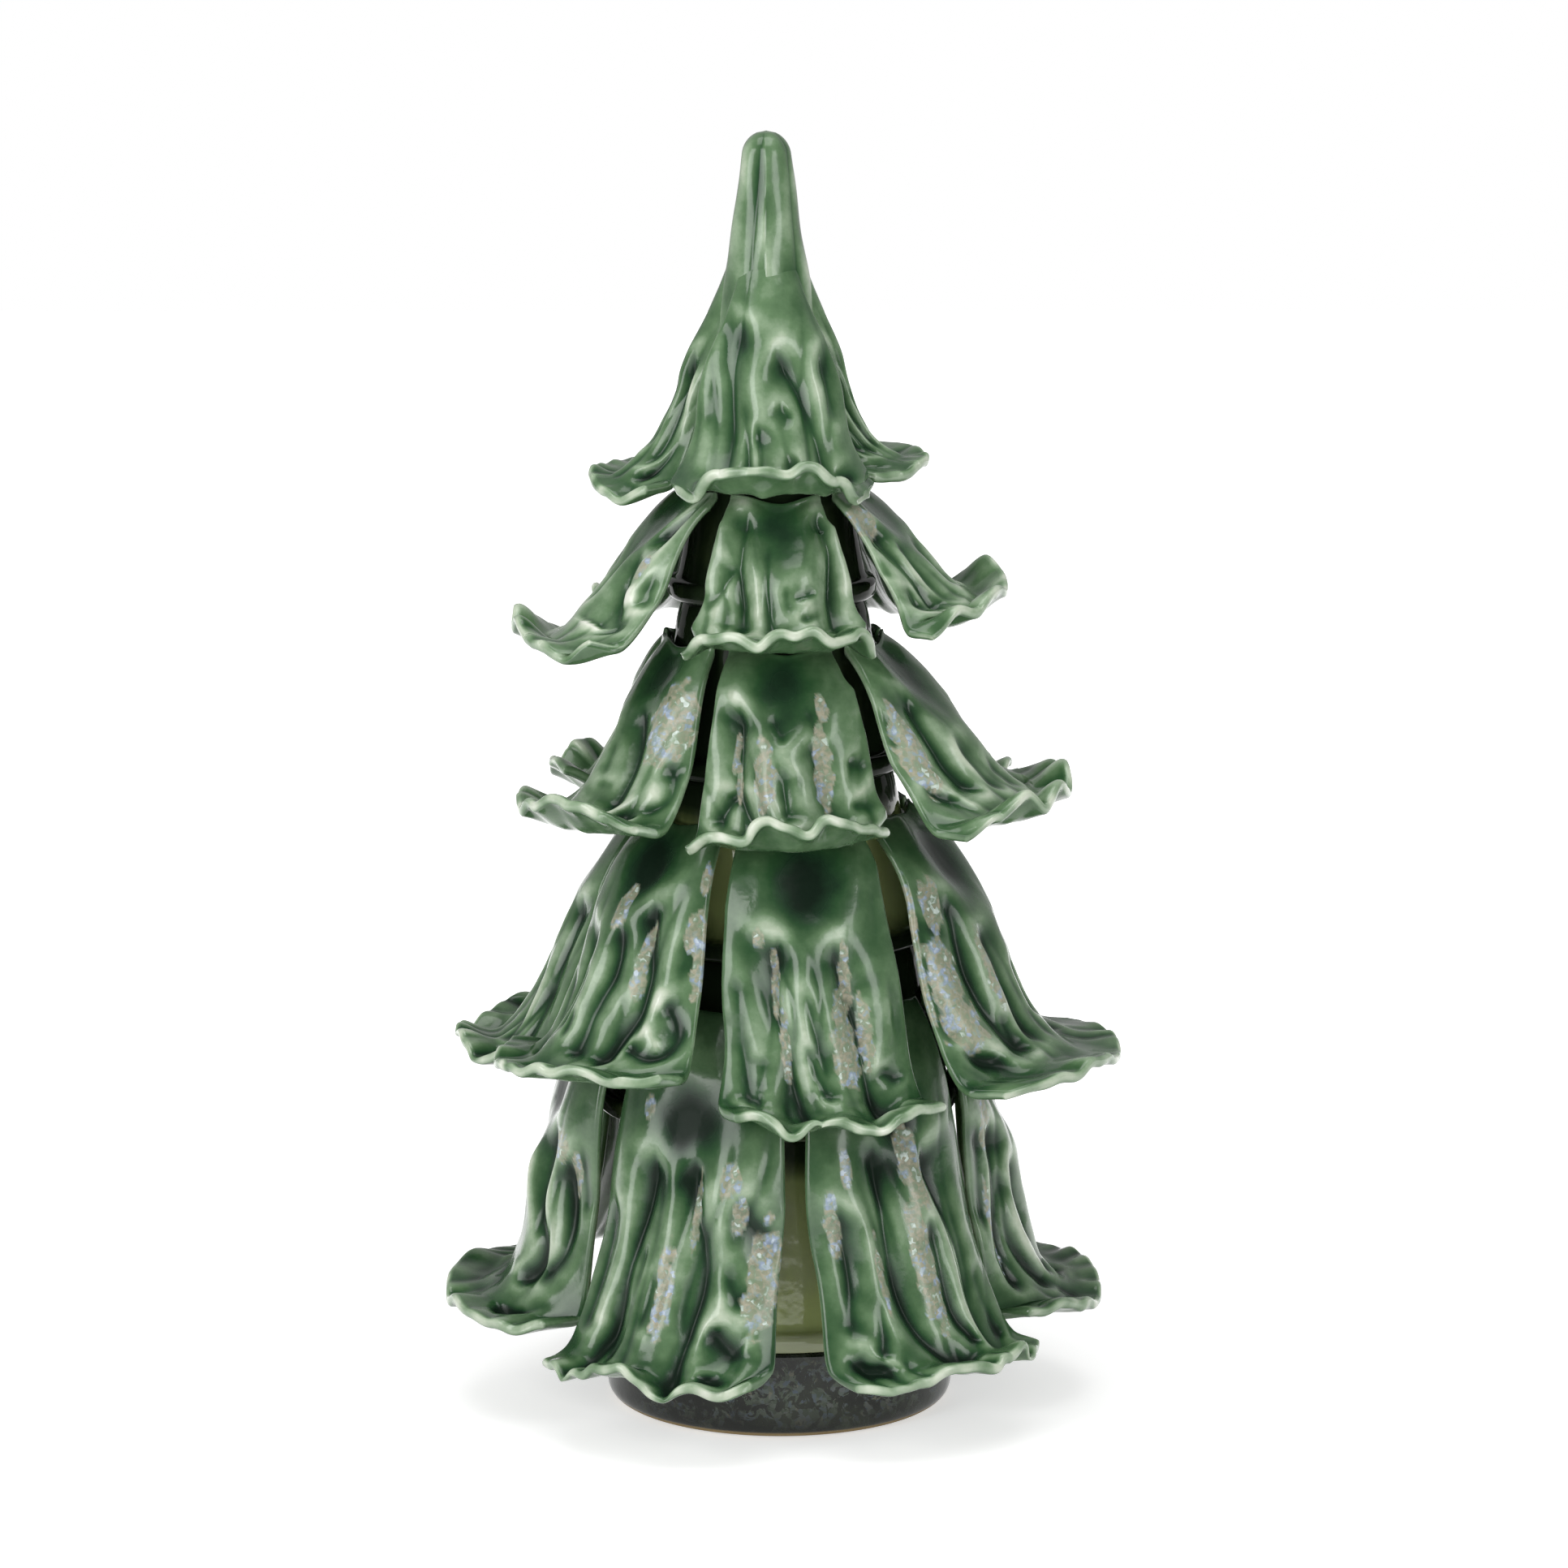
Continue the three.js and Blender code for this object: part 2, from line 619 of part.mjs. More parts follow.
// Closes a grid of outer points and a grid of inner points, with a strip round their common edge.
function slabGeometry(surface, columns, rows) {
  const points = [];
  const index = [];
  const count = (columns + 1) * (rows + 1);
  for (let j = 0; j <= rows; j++)
    for (let i = 0; i <= columns; i++) {
      const [outer, inner] = surface(i, j);
      points[j * (columns + 1) + i] = outer;
      points[count + j * (columns + 1) + i] = inner;
    }
  const quad = (a, b, c, d) => index.push(a, b, c, a, c, d);
  for (let j = 0; j < rows; j++)
    for (let i = 0; i < columns; i++) {
      const a = j * (columns + 1) + i;
      const b = a + 1;
      const c = b + columns + 1;
      const d = a + columns + 1;
      quad(d, c, b, a);
      quad(count + a, count + b, count + c, count + d);
    }
  const edge = [];
  for (let i = 0; i < columns; i++) edge.push(i);
  for (let j = 0; j < rows; j++) edge.push(j * (columns + 1) + columns);
  for (let i = columns; i > 0; i--) edge.push(rows * (columns + 1) + i);
  for (let j = rows; j > 0; j--) edge.push(j * (columns + 1));
  edge.forEach((a, k) => {
    const b = edge[(k + 1) % edge.length];
    quad(a, b, count + b, count + a);
  });
  const geometry = new THREE.BufferGeometry().setFromPoints(points);
  geometry.setIndex(index);
  geometry.computeVertexNormals();
  return geometry;
}

// Angle from a leaf to the plane between it and its next neighbour on one side. The two share the angle
// between them by their claims.
function roomTo(own, leaves, side) {
  const turnTo = (other) => THREE.MathUtils.euclideanModulo(side * (other.at - own.at), 360) || 360;
  const next = leaves.reduce((best, other) => (turnTo(other) < turnTo(best) ? other : best));
  const [mine, theirs] = [own.claim ?? 1, next.claim ?? 1];
  return (THREE.MathUtils.degToRad(turnTo(next)) * mine) / (mine + theirs);
}

// Folds of a leaf that has none of its own: four, nearly even, with drifts and depths by its seed.
function evenFolds(seed) {
  return [-0.66, -0.22, 0.24, 0.68].map((place, k) => {
    const drift = 0.07 * Math.sin(phase(seed, k));
    return [0.85 * place + drift, place, place - drift, 0.75 + 0.25 * Math.sin(phase(seed, k + 4))];
  });
}

// Lip of such a leaf: about two waves about its tier's rise.
function wavyLip(seed, rise) {
  const steps = 8;
  return Array.from({ length: steps + 1 }, (_, k) => {
    return rise + LIP_WAVE * Math.sin((2 * Math.PI * LIP_WAVES * k) / steps + phase(seed, steps));
  });
}

const LEAF_SIZES = ["drop", "reach", "belly", "flare", "sag"].concat(
  ["halfTop", "halfMiddle", "halfLip", "wrapTop", "wrapMiddle", "wrapLip"],
);
for (const tier of TIERS) {
  const holder = tier.drum < drums.length ? drums[tier.drum] : null;
  const top = holder ? holder.top - tier.down : spireBottom + tier.rise;
  const group = new THREE.Group();
  group.position.x = holder ? LEAN_PER_MM * holder.bottom : spire.position.x;
  const aside = holder ? 0 : Math.abs(LEAN_PER_MM * drums[tier.drum - 1].bottom - spire.position.x);
  part.add(group);
  tier.leaves.forEach((own, i) => {
    const topThickness = tier.topThickness ?? LEAF_THICKNESS;
    const leaf = {
      top,
      topThickness,
      start: trunkRadius(top) + SEAT_GAP + topThickness / 2,
      lean: own.lean ?? 0,
      roll: own.roll ?? 0,
      aside,
      thumb: tier.thumb,
      topClearance: tier.topClearance ?? LEAF_CLEARANCE,
      roomLeft: roomTo(own, tier.leaves, -1),
      roomRight: roomTo(own, tier.leaves, 1),
      tuckLeft: THREE.MathUtils.degToRad(own.tuckLeft ?? 0),
      tuckRight: THREE.MathUtils.degToRad(own.tuckRight ?? 0),
      folds: own.folds ?? evenFolds(own.seed),
      lip: own.lip ?? wavyLip(own.seed, tier.lipRise),
    };
    for (const size of LEAF_SIZES) leaf[size] = tier[size] + (own[size] ?? 0);
    const geometry = slabGeometry(
      (column, row) => {
        const v = 1 - (1 - row / LEAF_ROWS) ** ROW_CROWDING;
        return leafFaces(leaf, columnPlace(leaf, column, v), v);
      },
      LEAF_COLUMNS,
      LEAF_ROWS,
    );
    const mesh = addMesh(group, `${tier.name}_${i + 1}`, geometry, glaze(GREEN_GLAZE, 0.2));
    mesh.rotation.z = THREE.MathUtils.degToRad(own.at);
  });
}

export default part;
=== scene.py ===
import bpy
import numpy as np
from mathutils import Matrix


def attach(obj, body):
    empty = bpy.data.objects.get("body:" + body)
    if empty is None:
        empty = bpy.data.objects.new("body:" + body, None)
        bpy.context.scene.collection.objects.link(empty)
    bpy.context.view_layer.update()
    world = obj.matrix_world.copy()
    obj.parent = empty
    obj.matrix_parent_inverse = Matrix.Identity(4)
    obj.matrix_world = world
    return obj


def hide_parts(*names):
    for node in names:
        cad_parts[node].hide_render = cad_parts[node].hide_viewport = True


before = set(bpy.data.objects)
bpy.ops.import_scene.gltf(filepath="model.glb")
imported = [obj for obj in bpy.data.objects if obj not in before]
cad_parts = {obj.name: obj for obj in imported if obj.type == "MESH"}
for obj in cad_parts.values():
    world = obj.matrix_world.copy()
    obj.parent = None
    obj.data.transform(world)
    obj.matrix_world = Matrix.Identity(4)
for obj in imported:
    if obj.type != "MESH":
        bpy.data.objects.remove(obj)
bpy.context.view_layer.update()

# Foot: a low thrown drum, open underneath, that carries the whole tree. It is turned on the wheel, its
# lower edge is rounded over, and the ring it stands on is wiped bare of glaze before the firing.
MM = 0.001
SEAT_GAP = 0.3
FOOT_HEIGHT = 28.0
FOOT_RADIUS = 55.5
FOOT_EDGE = 4.5
FOOT_WALL = 6.0
SIDES = 208


def smooth(a, b, x):
    """Smooth step: 0 below a, 1 above b, and 3t squared less 2t cubed of the way t between them."""
    t = np.clip((x - a) / (b - a), 0, 1)
    return t * t * (3 - 2 * t)


def mix(a, b, t):
    """Straight line from a at t = 0 to b at t = 1."""
    return a + (b - a) * t


def phase(seed, index):
    """A full turn times the fractional part of seed and index, each times an irrational number."""
    return 2 * np.pi * ((seed * 0.7548776662 + index * 0.569840291) % 1)


def lumps(x, y, seed, size):
    """Uneven clay: a mean of seven sine waves about size long, each at its own slant and phase."""
    total = 0
    for k in range(7):
        slant = phase(seed, k + 20)
        length = size * (0.75 + 0.09 * k)
        total = total + np.sin(2 * np.pi * (x * np.cos(slant) + y * np.sin(slant)) / length + phase(seed, k))
    return total / 2.6


def rounded(corners, spacing):
    """Closed outline of (radius, level, rounding) corners: each corner is a parabola between the points
    one rounding away along its two sides, and the whole line is then cut into even steps."""
    corners = np.array(corners, float)
    here, size = corners[:, :2], corners[:, 2:]
    before = np.roll(here, 1, axis=0) - here
    after = np.roll(here, -1, axis=0) - here
    start = here + before / np.linalg.norm(before, axis=1, keepdims=True) * size
    end = here + after / np.linalg.norm(after, axis=1, keepdims=True) * size
    t = np.linspace(0, 1, 7)[None, :, None]
    arcs = (1 - t) ** 2 * start[:, None] + 2 * t * (1 - t) * here[:, None] + t ** 2 * end[:, None]
    line = arcs.reshape(-1, 2)
    line = np.vstack([line, line[:1]])
    along = np.concatenate([[0], np.cumsum(np.hypot(*np.diff(line, axis=0).T))])
    steps = np.linspace(0, along[-1], int(along[-1] / spacing), endpoint=False)
    return np.stack([np.interp(steps, along, line[:, k]) for k in (0, 1)], axis=1)


def piece(name, points, quads, triangles, glaze_and_shade, node, material, lustre=None):
    """One named mesh from points in mm, with how thick the glaze lies, together with painted shade and light,
    and where reflections are painted, kept on each vertex. It rides on the tree and stands for its CAD node."""
    mesh = bpy.data.meshes.new(name)
    faces = quads.tolist() + triangles.tolist()
    mesh.from_pydata((points * MM).tolist(), [], faces)
    for label, values in (("glaze_and_shade", glaze_and_shade), ("lustre", lustre)):
        held = mesh.attributes.new(label, "FLOAT", "POINT")
        values = np.zeros(len(points)) if values is None else values
        held.data.foreach_set("value", values.astype(np.float32).ravel())
    mesh.shade_smooth()
    mesh.materials.append(material)
    made = bpy.data.objects.new(name, mesh)
    bpy.context.scene.collection.objects.link(made)
    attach(made, "root")
    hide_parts(node)
    return made


def turned(outline, lean):
    """Points and quads of a closed outline of (radius, level) carried once round the Z axis, out of true
    by 0.15 mm as thrown clay is, and shifted along X by lean."""
    turn = np.linspace(0, 2 * np.pi, SIDES, endpoint=False)[:, None]
    radius, level = outline[:, 0][None], outline[:, 1][None]
    true = radius + 0.15 * np.sin(2 * turn + level / 30) * (radius > 1)
    points = np.stack(np.broadcast_arrays(true * np.sin(turn) + lean, -true * np.cos(turn), level), axis=-1)
    count = len(outline)
    i, j = np.meshgrid(np.arange(SIDES), np.arange(count), indexing="ij")
    a = i * count + j
    b = ((i + 1) % SIDES) * count + j
    c = ((i + 1) % SIDES) * count + (j + 1) % count
    d = i * count + (j + 1) % count
    quads = np.stack([a, b, c, d], axis=-1).reshape(-1, 4)
    return points.reshape(-1, 3), quads


def linear(hex_colour):
    """Linear colour with alpha of an sRGB hex colour."""
    srgb = np.array([int(hex_colour[k:k + 2], 16) / 255 for k in (1, 3, 5)])
    parts = np.where(srgb <= 0.04045, srgb / 12.92, ((srgb + 0.055) / 1.055) ** 2.4)
    return (*[float(part) for part in parts], 1.0)


def add(tree, kind, inputs=None, stops=None, **settings):
    """Adds a node of a kind with its settings, and sets or links each of its inputs."""
    made = tree.nodes.new(kind)
    for key, value in settings.items():
        setattr(made, key, value)
    for key, value in (inputs or {}).items():
        if isinstance(value, bpy.types.NodeSocket):
            tree.links.new(value, made.inputs[key])
        else:
            made.inputs[key].default_value = value
    if stops:
        ramp = made.color_ramp
        while len(ramp.elements) < len(stops):
            ramp.elements.new(1.0)
        for element, (place, colour) in zip(ramp.elements, stops):
            element.position = place
            element.color = linear(colour) if isinstance(colour, str) else (colour, colour, colour, 1.0)
    return made


def start_material(name):
    """An empty node material and its tree."""
    material = bpy.data.materials.new(name)
    material.use_nodes = True
    material.node_tree.nodes.clear()
    return material, material.node_tree


# Glossy near-black glaze over the buff body. The eye gets a dark mirror with a crackle of small dull
# blue-grey crystals in it, shown most in a band round the middle of the foot's height as a painted reflection
# of the room in front, and bare sandy clay at the very bottom.
CRYSTAL_SIZE = 1.5
dark_glaze, tree = start_material("dark_crystalline_glaze")
place = add(tree, "ShaderNodeTexCoord").outputs["Object"]
height = add(tree, "ShaderNodeSeparateXYZ", {"Vector": place}).outputs["Z"]
cloud = add(
    tree, "ShaderNodeTexNoise", {"Vector": place, "Scale": 1 / (18 * MM), "Detail": 4.0, "Roughness": 0.6},
)
islands = add(
    tree, "ShaderNodeTexNoise",
    {"Vector": place, "Scale": 1 / (3.2 * CRYSTAL_SIZE * MM), "Detail": 5.0, "Roughness": 0.6,
     "Distortion": 1.2},
)
shards = add(
    tree, "ShaderNodeTexVoronoi", {"Vector": place, "Scale": 1 / (CRYSTAL_SIZE * MM), "Randomness": 1.0},
)
bare = add(
    tree, "ShaderNodeMapRange",
    {"Value": height, "From Min": 1.4 * MM, "From Max": 2.4 * MM, "To Min": 1.0, "To Max": 0.0},
    interpolation_type="SMOOTHSTEP",
)
# Painted reflection: the crystals show most in a band round the middle of the foot's height.
reflection_band = add(
    tree, "ShaderNodeValToRGB", {"Fac": add(
        tree, "ShaderNodeMapRange", {"Value": height, "From Max": FOOT_HEIGHT * MM},
    ).outputs["Result"]},
    stops=[(0.0, 0.0), (0.22, 0.25), (0.5, 1.0), (0.8, 0.7), (1.0, 0.1)],
)
crystals = add(
    tree, "ShaderNodeMath",
    {0: add(tree, "ShaderNodeValToRGB", {"Fac": cloud.outputs["Fac"]},
            stops=[(0.4, 0.0), (0.5, 1.0)]).outputs["Color"],
     1: add(tree, "ShaderNodeValToRGB", {"Fac": islands.outputs["Fac"]},
            stops=[(0.49, 0.0), (0.53, 1.0)]).outputs["Color"]},
    operation="MULTIPLY",
)
shown = add(tree, "ShaderNodeMath", {0: crystals.outputs[0], 1: reflection_band.outputs["Color"]}, operation="MULTIPLY")
ground = add(
    tree, "ShaderNodeValToRGB", {"Fac": cloud.outputs["Fac"]},
    stops=[(0.3, "#0d100b"), (0.5, "#141812"), (0.65, "#22281c"), (0.8, "#30381f")],
)
flakes_and_reflection = add(
    tree, "ShaderNodeValToRGB", {"Fac": shards.outputs["Color"]},
    stops=[(0.2, "#3f4a3d"), (0.5, "#565e53"), (0.7, "#4f5b68"), (0.9, "#6b6b5c")],
)
glazed = add(
    tree, "ShaderNodeMix",
    {"Factor": shown.outputs[0], "A": ground.outputs["Color"], "B": flakes_and_reflection.outputs["Color"]},
    data_type="RGBA",
)
whole = add(
    tree, "ShaderNodeMix",
    {"Factor": bare.outputs["Result"], "A": glazed.outputs["Result"], "B": linear("#a08a62")},
    data_type="RGBA",
)
dull = add(tree, "ShaderNodeMath", {0: shown.outputs[0], 1: 0.3, 2: 0.09}, operation="MULTIPLY_ADD")
rough = add(
    tree, "ShaderNodeMath", {0: bare.outputs["Result"], 1: 0.7, 2: dull.outputs[0]}, operation="MULTIPLY_ADD",
)
bump = add(
    tree, "ShaderNodeBump",
    {"Height": cloud.outputs["Fac"], "Distance": 0.8 * MM, "Strength": 0.35},
)
shader = add(
    tree, "ShaderNodeBsdfPrincipled",
    {"Base Color": whole.outputs["Result"], "Roughness": rough.outputs[0], "Normal": bump.outputs["Normal"],
     "IOR": 1.52, "Specular IOR Level": 0.36},
)
add(tree, "ShaderNodeOutputMaterial", {"Surface": shader.outputs["BSDF"]})

foot_inside = FOOT_RADIUS - FOOT_WALL
foot_line = rounded([
    (foot_inside - FOOT_EDGE, 0, 1),
    (FOOT_RADIUS - 1.2, 0, 5.5),
    (FOOT_RADIUS, FOOT_HEIGHT, 1.2),
    (foot_inside - FOOT_WALL, FOOT_HEIGHT, 1),
    (foot_inside - FOOT_WALL, FOOT_HEIGHT - FOOT_WALL, 1),
    (foot_inside, FOOT_HEIGHT - 2 * FOOT_WALL, 2),
    (foot_inside, FOOT_EDGE, 2),
], 0.9)
points, quads = turned(foot_line, 0)
piece("foot_dressed", points, quads, np.zeros((0, 3), int), np.full(len(points), 0.5), "foot",
      dark_glaze)

# Trunk drums: five thrown drums, each a little narrower than the one below and stood on its neck with
# slip. The lower end of each is a bead. Each drum's wall and bead values paint light and shade into the
# olive glaze: darker, as painted shade, on the drums behind leaves, and paler, as painted light, on the
# lowest drum and the third drum's wall, which show in shade between the leaves.
LEAN_PER_MM = -0.0092
DRUM_WALL = 5.0
DRUM_FLOOR = 5.0
RIM_HEIGHT = 6.0
RIM_STEP = 3.0
NECK_ROUND = 4.0
NECK_INSET = 1.6
DRUMS = [dict(rim=57.5, neck=47.0, height=66.5, wall_shading=0.2, bead_shading=0.0),
         dict(rim=57.0, neck=45.0, height=53.4, wall_shading=0.9, bead_shading=0.9),
         dict(rim=48.5, neck=37.5, height=53.6, wall_shading=0.4, bead_shading=1.0),
         dict(rim=40.5, neck=29.5, height=52.8, wall_shading=1.0, bead_shading=1.0),
         dict(rim=32.5, neck=22.0, height=45.0, wall_shading=1.0, bead_shading=1.0)]
level, bore = FOOT_HEIGHT + SEAT_GAP, FOOT_RADIUS - 2 * FOOT_WALL
for drum in DRUMS:
    drum.update(bottom=level, top=level + drum["height"], wall=drum["rim"] - RIM_STEP)
    drum["hole"] = min(bore, drum["wall"] - DRUM_WALL - 2)
    level, bore = drum["top"] + SEAT_GAP, drum["neck"] - DRUM_WALL
SPIRE_BOTTOM = level

# Glossy olive glaze, thin over the buff body. The eye gets a deep clear brown-green that breaks to pale
# sand on the beads, with slow streaks where the glaze ran and a wet mirror shine.
olive_glaze, tree = start_material("olive_transparent_glaze")
place = add(tree, "ShaderNodeTexCoord").outputs["Object"]
# The value read here holds how thick the glaze lies together with painted shade and light on the drums.
thick = add(tree, "ShaderNodeAttribute", attribute_name="glaze_and_shade").outputs["Fac"]
streaked = add(tree, "ShaderNodeMapping", {"Vector": place, "Scale": (1.0, 1.0, 0.22)})
streaks = add(
    tree, "ShaderNodeTexNoise",
    {"Vector": streaked.outputs["Vector"], "Scale": 1 / (9 * MM), "Detail": 5.0, "Roughness": 0.55},
)
lie = add(
    tree, "ShaderNodeMath",
    {0: streaks.outputs["Fac"], 1: 0.5, 2: add(
        tree, "ShaderNodeMath", {0: thick, 1: 0.25}, operation="SUBTRACT").outputs[0]},
    operation="MULTIPLY_ADD",
)
colour = add(
    tree, "ShaderNodeValToRGB", {"Fac": lie.outputs[0]},
    stops=[(0.1, "#9aa17c"), (0.3, "#a5b074"), (0.5, "#9ba86a"), (0.7, "#5c673d"), (0.85, "#2f3a22"),
           (1.0, "#1a2416")],
)
ripple = add(
    tree, "ShaderNodeTexNoise", {"Vector": place, "Scale": 1 / (7 * MM), "Detail": 2.0, "Roughness": 0.5},
)
bump = add(
    tree, "ShaderNodeBump", {"Height": ripple.outputs["Fac"], "Distance": 0.5 * MM, "Strength": 0.25},
)
sheen = add(
    tree, "ShaderNodeMapRange",
    {"Value": thick, "From Min": 0.7, "From Max": 1.0, "To Min": 0.5, "To Max": 0.06},
)
shader = add(
    tree, "ShaderNodeBsdfPrincipled",
    {"Base Color": colour.outputs["Color"], "Roughness": 0.07, "IOR": 1.52,
     "Specular IOR Level": sheen.outputs["Result"], "Normal": bump.outputs["Normal"]},
)
add(tree, "ShaderNodeOutputMaterial", {"Surface": shader.outputs["BSDF"]})

for number, drum in enumerate(DRUMS, 1):
    line = rounded([
        (drum["rim"], drum["bottom"], 2.2),
        (drum["rim"], drum["bottom"] + RIM_HEIGHT, 2.2),
        (drum["wall"], drum["bottom"] + RIM_HEIGHT + 0.6, 1.2),
        (drum["neck"], drum["top"] - NECK_ROUND, 3),
        (drum["neck"] - NECK_INSET, drum["top"], 1.2),
        (drum["neck"] - DRUM_WALL - NECK_INSET, drum["top"], 1),
        (drum["wall"] - DRUM_WALL, drum["bottom"] + DRUM_FLOOR, 2),
        (drum["hole"], drum["bottom"] + DRUM_FLOOR, 0.8),
        (drum["hole"], drum["bottom"], 0.8),
    ], 0.9)
    points, quads = turned(line, LEAN_PER_MM * drum["bottom"])
    rise = (line[:, 1] - drum["bottom"]) / drum["height"]
    bead = smooth(RIM_HEIGHT + 1.5, RIM_HEIGHT - 1.5, line[:, 1] - drum["bottom"])
    # Painted shade: each wall is darker towards its top, under the drum above and the leaves, and a little
    # darker over its lower third.
    depth = drum["wall_shading"] + 0.7 * smooth(0.66, 0.92, rise) + 0.2 * smooth(0.35, 0.1, rise)
    depth = mix(depth, drum["bead_shading"], bead)
    piece(f"trunk_drum_{number}_dressed", points, quads, np.zeros((0, 3), int), np.tile(depth, SIDES),
          f"trunk_drum_{number}", olive_glaze)

# Spire: a solid cone of clay rolled by hand and stood on the top drum. Its sides are fluted with the
# fingers from the blunt tip down, so that it runs on into the leaves of the crown.
SPIRE_HEIGHT = 98.0
SPIRE_ASIDE = -1.2
SPIRE_FOOT_RADIUS = 21.5
SPIRE_TIP_RADIUS = 7.0
SPIRE_SWELL = 1.15
SPIRE_SHIFT = LEAN_PER_MM * SPIRE_BOTTOM + SPIRE_ASIDE


def spire_radius(share):
    """Radius at a share of the spire's height: from tip to foot as the rest of the share to a power."""
    return mix(SPIRE_TIP_RADIUS, SPIRE_FOOT_RADIUS, np.clip(1 - share, 0, 1) ** SPIRE_SWELL)


def spire_flute(turn, share):
    """Fluting of the spire in mm: the size of a sine round it, whose phase drifts as it rises, makes five
    broad flutes, and a finer sine lies over them."""
    broad = np.abs(np.sin(2.5 * turn + 0.7 * np.sin(2.4 * share + 0.4) + 0.25)) ** 0.9 - 0.6
    return 0.95 * broad + 0.25 * np.sin(5 * turn + 1.3 * np.sin(4 * share) + 2.0)


# Green lead-bright glaze over carved clay. The eye gets a wet gloss: deep bottle green where it pools in
# the folds and thumb marks, mid green on the flats, and a pale grey green where it breaks over ridges and
# lips, under a thin clear gloss. Here and there beige and pale blue crystal mottle is painted in as a
# reflection of the softboxes.
green_glaze, tree = start_material("green_breaking_glaze")
place = add(tree, "ShaderNodeTexCoord").outputs["Object"]
thick = add(tree, "ShaderNodeAttribute", attribute_name="glaze_and_shade").outputs["Fac"]
lustre = add(tree, "ShaderNodeAttribute", attribute_name="lustre").outputs["Fac"]
cloud = add(
    tree, "ShaderNodeTexNoise", {"Vector": place, "Scale": 1 / (11 * MM), "Detail": 4.0, "Roughness": 0.55},
)
mottle = add(
    tree, "ShaderNodeTexNoise", {"Vector": place, "Scale": 1 / (2.2 * MM), "Detail": 3.0, "Roughness": 0.6},
)
uneven = add(
    tree, "ShaderNodeMath",
    {0: cloud.outputs["Fac"], 1: 0.30, 2: add(
        tree, "ShaderNodeMath", {0: mottle.outputs["Fac"], 1: 0.10, 2: thick}, operation="MULTIPLY_ADD",
    ).outputs[0]},
    operation="MULTIPLY_ADD",
)
lie = add(tree, "ShaderNodeMath", {0: uneven.outputs[0], 1: 0.20}, operation="SUBTRACT")
colour = add(
    tree, "ShaderNodeValToRGB", {"Fac": lie.outputs[0]},
    stops=[(0.0, "#d4d8cb"), (0.12, "#b6c1ac"), (0.26, "#879c80"), (0.4, "#5a7654"), (0.54, "#3f5c3c"),
           (0.68, "#2a4a2c"), (0.84, "#1c3522"), (1.0, "#122117")],
)
shards = add(
    tree, "ShaderNodeTexVoronoi", {"Vector": place, "Scale": 1 / (CRYSTAL_SIZE * MM), "Randomness": 1.0},
)
drifts = add(
    tree, "ShaderNodeTexNoise", {"Vector": place, "Scale": 1 / (4.5 * MM), "Detail": 2.0, "Roughness": 0.5},
)
tint = add(
    tree, "ShaderNodeMath",
    {0: drifts.outputs["Fac"], 1: 1.3, 2: add(
        tree, "ShaderNodeMath", {0: shards.outputs["Color"], 1: 0.5, 2: -0.4}, operation="MULTIPLY_ADD",
    ).outputs[0]},
    operation="MULTIPLY_ADD",
)
flakes_and_reflection = add(
    tree, "ShaderNodeValToRGB", {"Fac": tint.outputs[0]},
    stops=[(0.15, "#c6d2cb"), (0.25, "#7d8f77"), (0.4, "#8b8d78"), (0.52, "#a09a86"), (0.64, "#8d9a92"),
           (0.72, "#8d9bb4"), (0.85, "#b4c0cc")],
)
# Painted reflection: pale mottled patches, standing for the softboxes' reflections, are mixed into the base
# colour.
reflection_mix = add(
    tree, "ShaderNodeMath",
    {0: lustre, 1: add(tree, "ShaderNodeValToRGB", {"Fac": mottle.outputs["Fac"]},
                       stops=[(0.36, 0.55), (0.6, 0.95)]).outputs["Color"]},
    operation="MULTIPLY",
)
whole = add(
    tree, "ShaderNodeMix",
    {"Factor": reflection_mix.outputs[0], "A": colour.outputs["Color"], "B": flakes_and_reflection.outputs["Color"]},
    data_type="RGBA",
)
pooling = add(
    tree, "ShaderNodeMapRange",
    {"Value": thick, "From Min": 0.7, "From Max": 1.25, "To Min": 0.2, "To Max": 0.45},
)
rough = add(
    tree, "ShaderNodeMath", {0: reflection_mix.outputs[0], 1: 0.15, 2: pooling.outputs["Result"]},
    operation="MULTIPLY_ADD",
)
skin = add(
    tree, "ShaderNodeTexNoise", {"Vector": place, "Scale": 1 / (5 * MM), "Detail": 3.0, "Roughness": 0.5},
)
bump = add(
    tree, "ShaderNodeBump", {"Height": skin.outputs["Fac"], "Distance": 0.5 * MM, "Strength": 0.25},
)
sheen = add(
    tree, "ShaderNodeMapRange",
    {"Value": thick, "From Min": 0.55, "From Max": 1.1, "To Min": 0.4, "To Max": 0.08},
)
wet = add(tree, "ShaderNodeMath", {0: sheen.outputs["Result"], 1: 0.5}, operation="MULTIPLY")
shader = add(
    tree, "ShaderNodeBsdfPrincipled",
    {"Base Color": whole.outputs["Result"], "Roughness": rough.outputs[0], "IOR": 1.52,
     "Specular IOR Level": sheen.outputs["Result"], "Normal": bump.outputs["Normal"],
     "Coat Weight": wet.outputs[0], "Coat Roughness": 0.06, "Coat Normal": bump.outputs["Normal"]},
)
add(tree, "ShaderNodeOutputMaterial", {"Surface": shader.outputs["BSDF"]})


def spread(field, cells):
    """Mean of a grid over a square that reaches so many cells each way, with its edge values carried on."""
    for axis in (0, 1):
        width = [(cells + 1, cells) if k == axis else (0, 0) for k in (0, 1)]
        sums = np.cumsum(np.pad(field, width, mode="edge"), axis=axis)
        ahead = np.take(sums, np.arange(2 * cells + 1, sums.shape[axis]), axis=axis)
        behind = np.take(sums, np.arange(0, sums.shape[axis] - 2 * cells - 1), axis=axis)
        field = (ahead - behind) / (2 * cells + 1)
    return field


